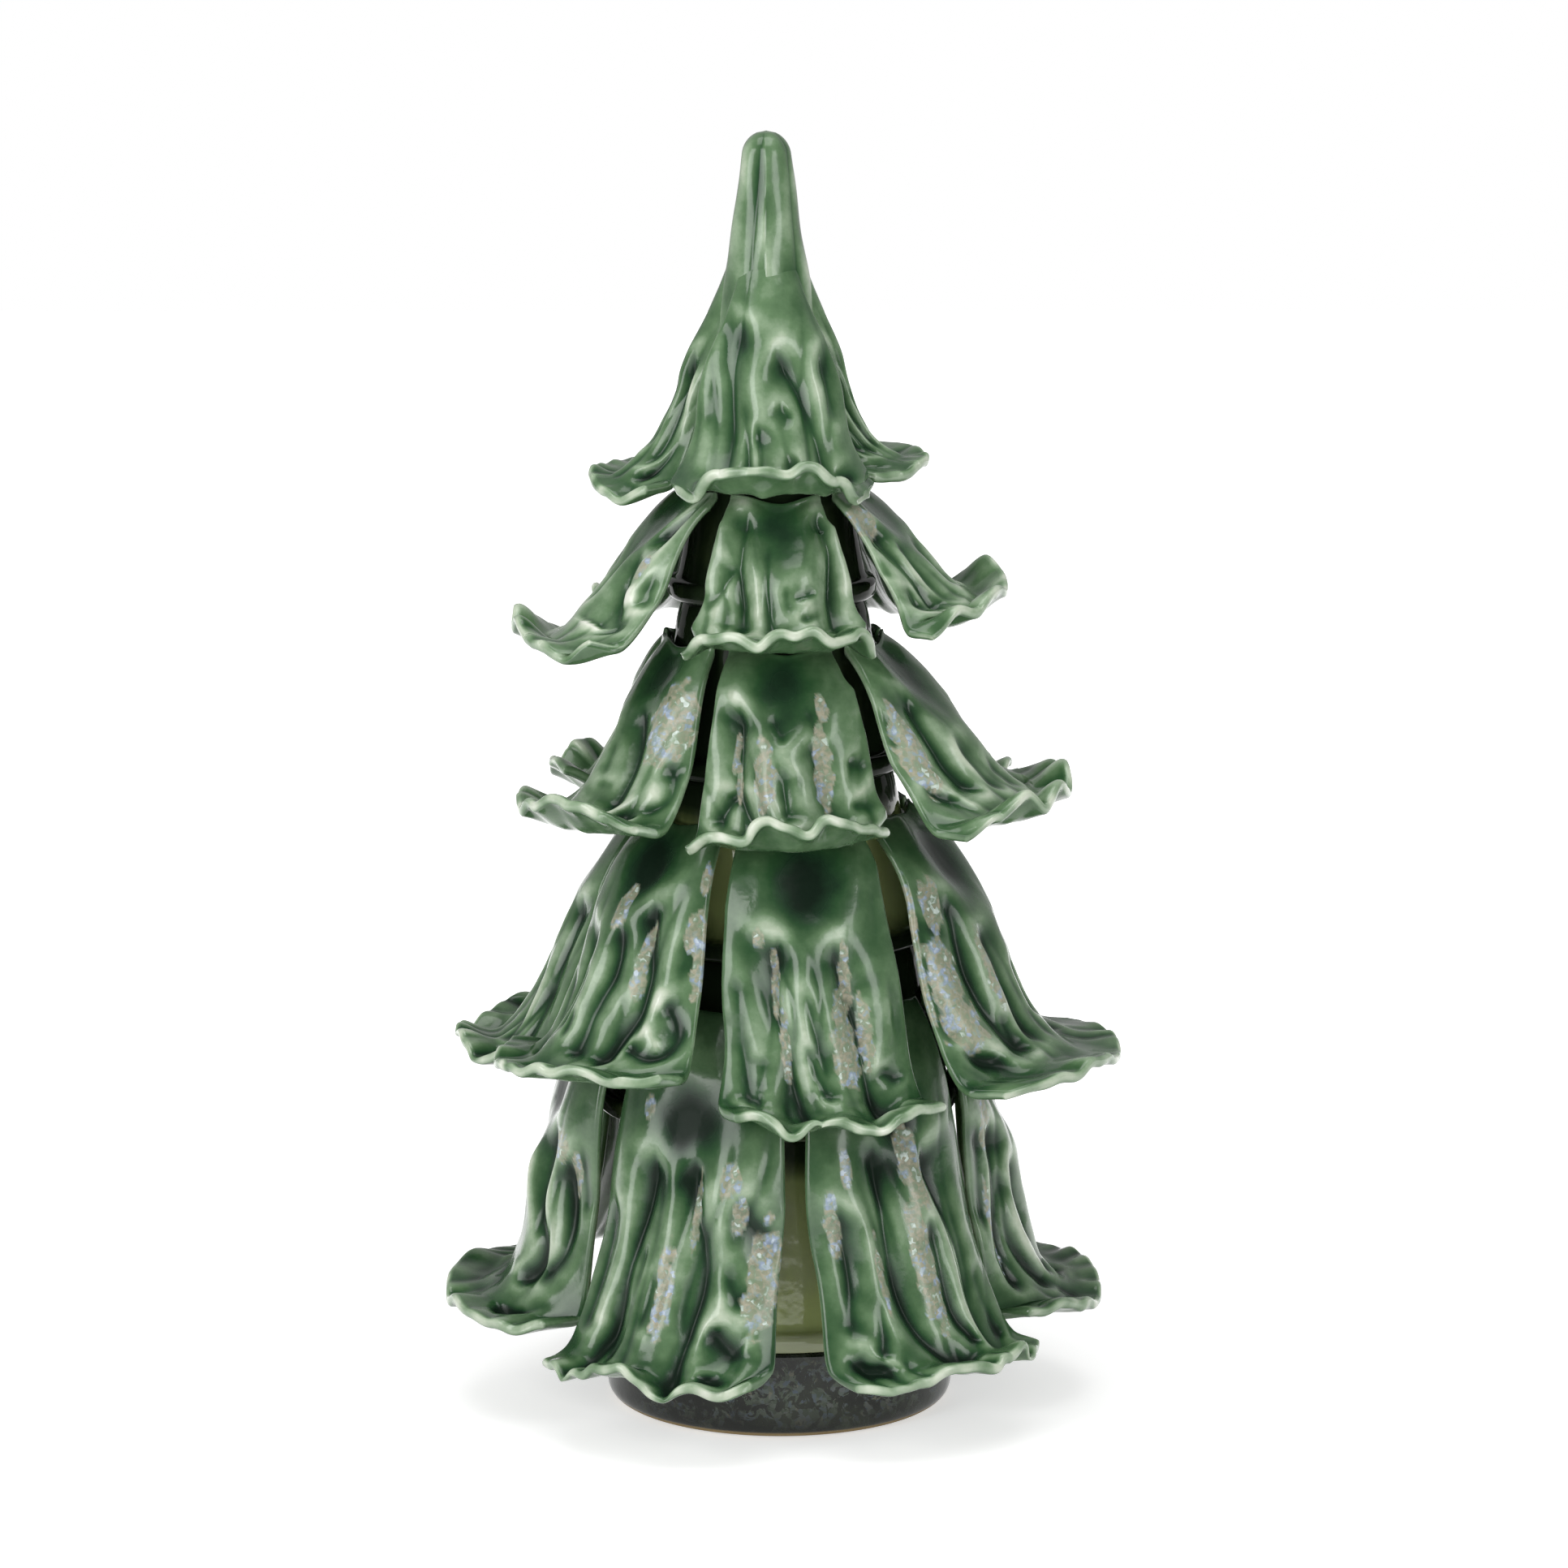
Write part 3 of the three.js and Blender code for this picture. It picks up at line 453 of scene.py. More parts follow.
def pooled(relief, fine, broad):
    """How thick the glaze lies, 0 to 1: more where the relief lies below the means of two areas round it."""
    sunk = fine * (spread(relief, 2) - relief) + broad * (spread(spread(relief, 5), 5) - relief)
    return 0.5 + 0.5 * np.tanh(sunk)


FLUTE_POOL = 0.4
rows = 150
share = np.linspace(0, 1, rows)
turn = np.linspace(0, 2 * np.pi, SIDES, endpoint=False)
share_grid, turn_grid = np.meshgrid(share, turn, indexing="ij")
dome = SPIRE_TIP_RADIUS / SPIRE_HEIGHT
cap = np.sqrt(np.clip(1 - (np.clip((share_grid - 1 + dome) / dome, 0, 1)) ** 2, 0, 1))
radius = spire_radius(share_grid) * cap
relief = spire_flute(turn_grid, share_grid) + 0.3 * lumps(turn_grid * 14, share_grid * 45, 3, 14)
relief = relief * cap * (0.6 + 0.8 * (1 - share_grid))
radius = radius + relief * (share_grid < 1)
points = np.stack([
    radius * np.sin(turn_grid) + SPIRE_SHIFT,
    -radius * np.cos(turn_grid),
    SPIRE_BOTTOM + share_grid * SPIRE_HEIGHT,
], axis=-1)
inner_rows = points[:-1].reshape(-1, 3)
poles = np.array([[SPIRE_SHIFT, 0, SPIRE_BOTTOM],
                  [SPIRE_SHIFT, 0, SPIRE_BOTTOM + SPIRE_HEIGHT]])
i, j = np.meshgrid(np.arange(rows - 2), np.arange(SIDES), indexing="ij")
quads = np.stack([i * SIDES + j, i * SIDES + (j + 1) % SIDES, (i + 1) * SIDES + (j + 1) % SIDES,
                  (i + 1) * SIDES + j], axis=-1).reshape(-1, 4)
ring = np.arange(SIDES)
bottom_pole, top_pole = len(inner_rows), len(inner_rows) + 1
last = (rows - 2) * SIDES
triangles = np.vstack([
    np.stack([np.full(SIDES, bottom_pole), (ring + 1) % SIDES, ring], axis=1),
    np.stack([last + ring, last + (ring + 1) % SIDES, np.full(SIDES, top_pole)], axis=1),
])
depth = (pooled(relief, 1.1, 0.5) - FLUTE_POOL * relief)[:-1].ravel()
piece("spire_dressed", np.vstack([inner_rows, poles]), quads, triangles,
      np.concatenate([depth, [0.5, 0.4]]) - 0.06, "spire", green_glaze)

# Leaves: slabs of rolled clay pressed on with the thumb at the top and flared at the lip. Each is bent
# round a form, pleated between the fingers, and its lip is ruffled and turned up before it dries.
LEAF_THICKNESS = 3.2
LEAF_COLUMNS = 120
LEAF_ROWS = 100
FOLD_START = 0.2
FOLD_RIPE = 0.5
FOLD_NEAR = 0.3
FOLD_RISE = 1.3
WRINKLE_SIZE = 11.0
WRINKLE_DEPTH = 0.9
INNER_FOLD = 0.5
LIP_START = 0.8
LIP_WAVE = 3.0
LIP_WAVES = 2
EDGE_CALM = 0.6
CORNER_TRIM = 0.05
THUMB_DEPTH = 4.0
THUMB_WIDTH = 11.0
THUMB_HEIGHT = 10.0
LEAF_CLEARANCE = 2.4
TUCK_SPAN = (0.12, 0.3, 0.6, 0.9)

levels = np.linspace(0, 400, 1601)
trunk_line = spire_radius((levels - SPIRE_BOTTOM) / SPIRE_HEIGHT)
trunk_line[levels < DRUMS[0]["bottom"]] = FOOT_RADIUS
for drum in DRUMS:
    side_levels = [drum["bottom"], drum["bottom"] + 2, drum["bottom"] + 4, drum["bottom"] + 6,
                   drum["top"] - NECK_ROUND, drum["top"]]
    side_radii = [drum["rim"] - 2, drum["rim"], drum["rim"], drum["wall"], drum["neck"],
                  drum["neck"] - NECK_INSET]
    here = (levels >= drum["bottom"]) & (levels <= drum["top"])
    trunk_line[here] = np.interp(levels[here], side_levels, side_radii)
near = int(RIM_STEP / (levels[1] - levels[0]))
trunk_line = np.max([np.roll(trunk_line, k) for k in range(-near, near + 1)], axis=0)


def trunk_radius(level):
    """Largest radius of the trunk within a bead's step of a level, read off its outline."""
    return np.interp(level, levels, trunk_line)


def leaf_section(leaf, u, v):
    """Radius, level, bending radius and half width at u across and v down: cubic Bezier curves from the
    wall to the lip, and smooth steps between the sizes at the top, the middle and the lip."""
    t = v * (1 - CORNER_TRIM * np.abs(u) ** 3)
    low = leaf["top"] - leaf["drop"]
    end = smooth(0.5, 1, v)

    def curve(a, b, c, d):
        return (1 - t) ** 3 * a + 3 * (1 - t) ** 2 * t * b + 3 * (1 - t) * t ** 2 * c + t ** 3 * d

    half = mix(leaf["half_top"], leaf["half_middle"], smooth(0, 0.55, v))
    half = half + (leaf["half_lip"] - leaf["half_middle"]) * end ** 1.3
    wrap = mix(leaf["wrap_top"], leaf["wrap_middle"], smooth(0.1, 0.5, v))
    wrap = wrap + (leaf["wrap_lip"] - leaf["wrap_middle"]) * end
    return (
        curve(leaf["start"], leaf["start"] + leaf["belly"], leaf["reach"] - leaf["flare"], leaf["reach"]),
        curve(leaf["top"], leaf["top"] - 0.36 * leaf["drop"], low - leaf["sag"], low),
        wrap,
        half * (1 - 0.1 * smooth(0.88, 1.02, v)),
    )


def lip_height(leaf, u):
    """How far the lip turns up: smooth steps between heights that are given at even steps across."""
    lip = np.array(leaf["lip"], float)
    along = (np.clip(u, -1, 1) + 1) / 2 * (len(lip) - 1)
    step = np.minimum(along.astype(int), len(lip) - 2)
    return mix(lip[step], lip[step + 1], smooth(0, 1, along - step))


def leaf_base(leaf, u, v):
    """Middle of the slab before it is creased: a level arc across each section, drawn in on the side where
    its edge would pass the plane between it and the next leaf. A tucked side goes past that plane for part
    of its length, underneath a neighbour that stands further out."""
    radius, level, wrap, half = leaf_section(leaf, u, v)
    lean = leaf["lean"] * v * v
    side = np.where(u < 0, -1, 1)
    edge_radius, _, edge_wrap, edge_half = leaf_section(leaf, side, v)
    edge_angle = edge_half / edge_wrap
    aside = edge_wrap * np.sin(edge_angle) + side * lean
    out = edge_radius - edge_wrap * (1 - np.cos(edge_angle))
    under, full, leaving, gone = TUCK_SPAN
    tucked = smooth(under, full, v) * (1 - smooth(leaving, gone, v))
    room = np.where(side < 0, leaf["room_left"] + leaf["tuck_left"] * tucked,
                    leaf["room_right"] + leaf["tuck_right"] * tucked)
    clearance = mix(leaf["top_clearance"], LEAF_CLEARANCE, smooth(0.3, 0.8, v))
    allowed = out * np.tan(room) - clearance / np.cos(room)
    narrow = np.minimum(1, (allowed - side * lean) / (aside - side * lean))
    angle = u * half / wrap
    return np.stack([
        narrow * wrap * np.sin(angle) + lean,
        wrap * (1 - np.cos(angle)) - radius,
        level + leaf["roll"] * u * v ** 3 + lip_height(leaf, u) * smooth(LIP_START, 1, v) ** 1.4,
    ], axis=-1), half


def even_folds(seed):
    """Four nearly even folds of a leaf that is out of sight: near, middle and end places and depth."""
    folds = []
    for k, place in enumerate((-0.66, -0.22, 0.24, 0.68)):
        drift = 0.07 * np.sin(phase(seed, k))
        folds.append((0.85 * place + drift, place, place - drift, 0.75 + 0.25 * np.sin(phase(seed, k + 4))))
    return folds


def even_creases(seed):
    """Creases along those folds, each a parabola through its three places with a slow sine in it, and
    a shorter one that leaves each of them to one side."""
    creases = []
    v = np.linspace(FOLD_NEAR - 0.04, 1, 7)
    t = np.clip((v - FOLD_NEAR) / (1 - FOLD_NEAR), 0, 1)
    for k, (near, middle, end, deep) in enumerate(even_folds(seed)):
        u = near + t * (4 * middle - 3 * near - end) + 2 * t * t * (near - 2 * middle + end)
        u = u + 0.04 * np.sin(9 * v + phase(seed, k + 10))
        creases.append((4.6 * deep, 5, np.stack([u, v], axis=1)))
        side = 1 if phase(seed, k + 14) > np.pi else -1
        branch = [(u[2], v[2]), (u[2] + 0.07 * side, v[3]), (u[4] + 0.15 * side, v[4]),
                  (u[5] + 0.2 * side, v[5])]
        creases.append((2.6, 3.5, branch))
    return creases


def softened(line):
    """A line whose corners are cut twice, a quarter of the way along the stretches beside them."""
    for _ in range(2):
        cut = np.stack([mix(line[:-1], line[1:], 0.25), mix(line[:-1], line[1:], 0.75)], axis=1)
        line = np.vstack([line[:1], cut.reshape(-1, 2), line[-1:]])
    return line


def crease_depth(leaf, across, down, deep, wide, line):
    """Depth in mm of a crease that runs along a line of (u, v) points: a rounded valley with a thin notch
    along it, both exponentials of the distance and steeper on one side. It dies away smoothly towards its
    ends unless at the lip, and swells and narrows along its way."""
    line = np.array(line, float)
    half = leaf_section(leaf, line[:, 0], line[:, 1])[3]
    path = softened(np.stack([line[:, 0] * half, line[:, 1] * leaf["slant"]], axis=1))
    stretches = np.diff(path, axis=0)
    lengths = np.hypot(*stretches.T)
    passed = np.concatenate([[0], np.cumsum(lengths)])
    nearest = np.full(across.shape, 1e6)
    along, beside = np.zeros(across.shape), np.ones(across.shape)
    for (x, y), (dx, dy), length, before in zip(path, stretches, lengths, passed):
        t = np.clip(((across - x) * dx + (down - y) * dy) / length ** 2, 0, 1)
        far = np.hypot(across - x - t * dx, down - y - t * dy)
        along = np.where(far < nearest, before + t * length, along)
        beside = np.where(far < nearest, np.sign((across - x) * dy - (down - y) * dx), beside)
        nearest = np.minimum(nearest, far)
    fade = min(9, 0.4 * passed[-1])
    deep = deep * smooth(0, fade, along)
    if line[-1, 1] < 0.97:
        deep = deep * smooth(0, fade, passed[-1] - along)
    deep = deep * (1 + 0.2 * np.sin(along / 6 + line[0, 0] * 20))
    slope = 1 + 0.4 * beside * np.sin(9 * line[-1, 0] + 5 * line[0, 1])
    nearest = (np.hypot(nearest, 0.4) - 0.4) / slope
    return deep * (0.16 * np.exp(-nearest / (0.3 * wide)) + 0.84 * np.exp(-(nearest / (1.3 * wide)) ** 1.4))


def leaf_relief(leaf, u, v, half):
    """Hand modelling in mm: the slab stands out between its creases, which are joined as the cube root of
    their summed cubes so that a fork is no deeper than its branches, and raised lines the same way. The
    rest is shallow wrinkles, a power of a sine whose phase wanders, uneven clay, and a thumb's dent.
    Returns the folds and what lifts both faces."""
    seed = leaf["seed"]
    across, down = u * half, v * leaf["slant"]
    ripe = smooth(FOLD_START, FOLD_RIPE, v) * (1 - 0.4 * smooth(0.8, 1, v))
    sunk = raised = 0
    for deep, wide, line in leaf["creases"]:
        depth = crease_depth(leaf, across, down, abs(deep), wide, line) ** 3
        sunk, raised = (sunk + depth, raised) if deep > 0 else (sunk, raised + depth)
    fold = FOLD_RISE * ripe - 1.1 * np.cbrt(sunk) * (1 - 0.3 * smooth(0.85, 1, v)) + np.cbrt(raised)
    wander = 0.5 * lumps(across, 0.6 * down, seed + 11, 40)
    wrinkle = np.abs(np.sin(np.pi * (across / WRINKLE_SIZE + wander))) ** 0.8 - 0.6
    patchy = 0.45 + 0.55 * lumps(across, down, seed + 15, 40)
    fold = fold + WRINKLE_DEPTH * wrinkle * np.clip(patchy, 0.1, 1) * smooth(0.1, 0.4, v)
    fold = fold + 0.5 * lumps(across, 0.6 * down, seed + 7, 26) + 0.06 * lumps(across, down, seed + 9, 8)
    fold = fold * (1 - EDGE_CALM * smooth(0.7, 1, np.abs(u)))
    lift = 0.5 * lumps(across, 0, seed + 2, 10) * smooth(0.9, 1, v)
    if leaf["thumb"]:
        aside = across / THUMB_WIDTH
        below = (v - leaf["thumb"]) * leaf["drop"] / THUMB_HEIGHT
        print_shape = np.exp(-(aside ** 2 + below ** 2) ** 1.25)
        lift = lift - THUMB_DEPTH * print_shape
        fold = fold * (1 - 0.8 * print_shape)
    return fold, lift


def clear_of_trunk(points, gap, leaf, v):
    """Pushes each point straight out from the trunk's axis until it clears the trunk by a gap, except
    where a leaf has been smoothed into the trunk."""
    radius = np.hypot(points[..., 0], points[..., 1])
    out = np.maximum((trunk_radius(points[..., 2]) + gap) / radius, 1)
    if leaf["smoothed"]:
        out = mix(1, out, smooth(0.6 * leaf["smoothed"], leaf["smoothed"] + 0.1, v))
    return points * np.stack([out, out, np.ones_like(out)], axis=-1)


def sunk_into_trunk(points, depth, emerged):
    """Moves points from a depth under the spire's skin, where emerged is 0, to their own place, where 1."""
    radius = np.hypot(points[..., 0], points[..., 1])
    under = spire_radius((points[..., 2] - SPIRE_BOTTOM) / SPIRE_HEIGHT) - depth
    out = mix(under / radius, 1, emerged)
    return points * np.stack([out, out, np.ones_like(out)], axis=-1)


def edged(count, end_step):
    """From 0 to 1 in even steps, with four close steps at each end for the rounded edge of the slab."""
    close = end_step * (1 - np.cos(np.linspace(0, np.pi / 2, 5)))
    return np.concatenate([close, np.linspace(end_step, 1 - end_step, count)[1:-1], 1 - close[::-1]])


def leaf_piece(name, leaf):
    """A leaf as one closed slab: two grids either side of the middle surface, their distance apart the
    thickness times a half circle near every edge, joined along their common edge."""
    u_line = 2 * edged(LEAF_COLUMNS, 0.5 * LEAF_THICKNESS / 2 / 38) - 1
    v_line = edged(LEAF_ROWS, 0.5 * LEAF_THICKNESS / leaf["slant"])
    v, u = np.meshgrid(v_line, u_line, indexing="ij")
    middle, half = leaf_base(leaf, u, v)
    step = 1e-4
    across = leaf_base(leaf, u + step, v)[0] - leaf_base(leaf, u - step, v)[0]
    down = leaf_base(leaf, u, v + step)[0] - leaf_base(leaf, u, v - step)[0]
    normal = np.cross(down, across)
    normal /= np.linalg.norm(normal, axis=-1, keepdims=True)
    fold, lift = leaf_relief(leaf, u, v, half)
    fold, flute = spread(fold, 1), np.zeros_like(u)
    if leaf["smoothed"]:
        turn = np.arctan2(middle[..., 0], -middle[..., 1]) + np.radians(leaf["at"])
        flute = spire_flute(turn, (middle[..., 2] - SPIRE_BOTTOM) / SPIRE_HEIGHT)
        flute = flute * (1 - smooth(0.3, 0.6, v))
    round_over = LEAF_THICKNESS / 2
    beside = (1 - np.abs(u)) * half
    ahead = (1 - v) * np.linalg.norm(down, axis=-1) / (2 * step)
    behind = v * leaf["slant"]
    edge = np.minimum(np.minimum(beside, ahead), behind)
    profile = np.sqrt(np.clip(1 - np.clip(1 - edge / round_over, 0, 1) ** 2, 0, 1))
    thick = mix(leaf["top_thickness"], LEAF_THICKNESS, smooth(0, 0.35, v))
    half_thick = profile * thick / 2
    inner_fold = fold * mix(1, INNER_FOLD, profile)
    outer = middle + normal * (half_thick + fold + lift)[..., None]
    inner = middle + normal * (inner_fold + lift - half_thick)[..., None]
    if leaf["smoothed"]:
        emerged = smooth(-0.1, leaf["smoothed"], v)
        outer = sunk_into_trunk(outer, 2.2 - 0.8 * profile - 0.8 * flute, emerged)
        inner = sunk_into_trunk(inner, 2.2, emerged)
    outer = clear_of_trunk(outer, SEAT_GAP + 0.4 * thick + 0.4 * thick * profile, leaf, v)
    inner = clear_of_trunk(inner, SEAT_GAP + 0.4 * thick - 0.4 * thick * profile, leaf, v)
    turn = np.radians(leaf["at"])
    shown = []
    for face in (outer, inner):
        x = face[..., 0] * np.cos(turn) - face[..., 1] * np.sin(turn) + leaf["shift"]
        y = face[..., 0] * np.sin(turn) + face[..., 1] * np.cos(turn)
        shown.append(np.stack([x, y, face[..., 2]], axis=-1))
    outer, inner = shown
    rows, columns = u.shape
    front = np.arange(rows * columns).reshape(rows, columns)
    back = front.copy()
    inside = (slice(1, -1), slice(1, -1))
    back[inside] = rows * columns + np.arange((rows - 2) * (columns - 2)).reshape(rows - 2, columns - 2)

    def quads_of(grid):
        return np.stack([grid[:-1, :-1], grid[1:, :-1], grid[1:, 1:], grid[:-1, 1:]], axis=-1).reshape(-1, 4)

    # Each tier's value shifts its colour: painted shade darkens the low tiers, painted light lightens the
    # upper ones that the crown shades.
    depth = pooled(fold + 0.8 * lift, 1.1, 0.8) + leaf["coat"] - FLUTE_POOL * flute
    if leaf["thumb"]:
        below = (v - leaf["thumb"]) * leaf["drop"] / THUMB_HEIGHT
        depth = depth + 0.4 * np.exp(-((u * half / THUMB_WIDTH) ** 2 + below ** 2))
    hollow = smooth(0.68, 0.86, v) * (1 - smooth(0.9, 0.97, v))
    depth = depth + 0.16 * hollow
    lip = smooth(1.7, 0.2, np.minimum(ahead, beside + 0.9))
    worn = 0.17 + 0.12 * lumps(u * half, 0, leaf["seed"] + 4, 9)
    depth = mix(depth, worn, 0.85 * lip)
    depth_back = 0.5 + 0.25 * (0.5 - depth)
    depth_back = mix(depth_back, worn, 0.85 * smooth(1.2, 0.2, np.minimum(ahead, beside + 0.9)))
    points = np.vstack([outer.reshape(-1, 3), inner[inside].reshape(-1, 3)])
    values = np.concatenate([depth.ravel(), depth_back[inside].ravel()])
    painted_shine = np.zeros_like(u)
    # Painted reflections: pale patches at given (u, v) places with half widths, where the softboxes'
    # reflections fall.
    for where, low, wide, tall in leaf["lustre"]:
        ragged = 0.16 * lumps(u * half, v * leaf["slant"], leaf["seed"] + 3, 6)
        far = np.hypot((u - where) / (1.25 * wide), (v - low) / (1.25 * tall)) + ragged
        painted_shine = np.maximum(painted_shine, smooth(1.04, 0.94, far))
    painted_shine_all = np.concatenate([painted_shine.ravel(), np.zeros((rows - 2) * (columns - 2))])
    faces = np.vstack([quads_of(front), quads_of(back)[:, ::-1]])
    return piece(f"{name}_dressed", points, faces, np.zeros((0, 3), int), values, name,
                 green_glaze, painted_shine_all)


def room_to(own, leaves, side):
    """Angle to the plane between a leaf and the next one on a side: their claims share what lies between."""
    between, claim = min(
        ((side * (other["at"] - own["at"])) % 360 or 360, other.get("claim", 1)) for other in leaves
    )
    mine = own.get("claim", 1)
    return np.radians(between) * mine / (mine + claim)


def hang_tier(tier, top, shift):
    """Builds the leaves of one tier: each has the tier's sizes plus its own differences."""
    for number, own in enumerate(tier["leaves"], 1):
        thickness = tier.get("top_thickness", LEAF_THICKNESS)
        leaf = {key: tier[key] + own.get(key, 0) for key in (
            "drop", "reach", "belly", "flare", "sag", "half_top", "half_middle", "half_lip", "wrap_top",
            "wrap_middle", "wrap_lip")}
        leaf.update(
            top=top, top_thickness=thickness, start=trunk_radius(top) + SEAT_GAP + thickness / 2,
            lean=own.get("lean", 0), roll=own.get("roll", 0), thumb=tier.get("thumb"), at=own["at"],
            top_clearance=tier.get("top_clearance", LEAF_CLEARANCE), smoothed=tier.get("smoothed"),
            shift=shift, coat=tier["coat"],
            room_left=room_to(own, tier["leaves"], -1), room_right=room_to(own, tier["leaves"], 1),
            tuck_left=np.radians(own.get("tuck_left", 0)), tuck_right=np.radians(own.get("tuck_right", 0)),
            slant=np.hypot(tier["drop"], tier["reach"] - trunk_radius(top)), seed=own["seed"],
            lustre=own.get("lustre", []), creases=own.get("creases") or even_creases(own["seed"]),
            lip=own.get("lip") or [
                tier["lip_rise"] + LIP_WAVE * np.sin(2 * np.pi * LIP_WAVES * k / 8 + phase(own["seed"], 8))
                for k in range(9)
            ],
        )
        leaf_piece(f"{tier['name']}_{number}", leaf)


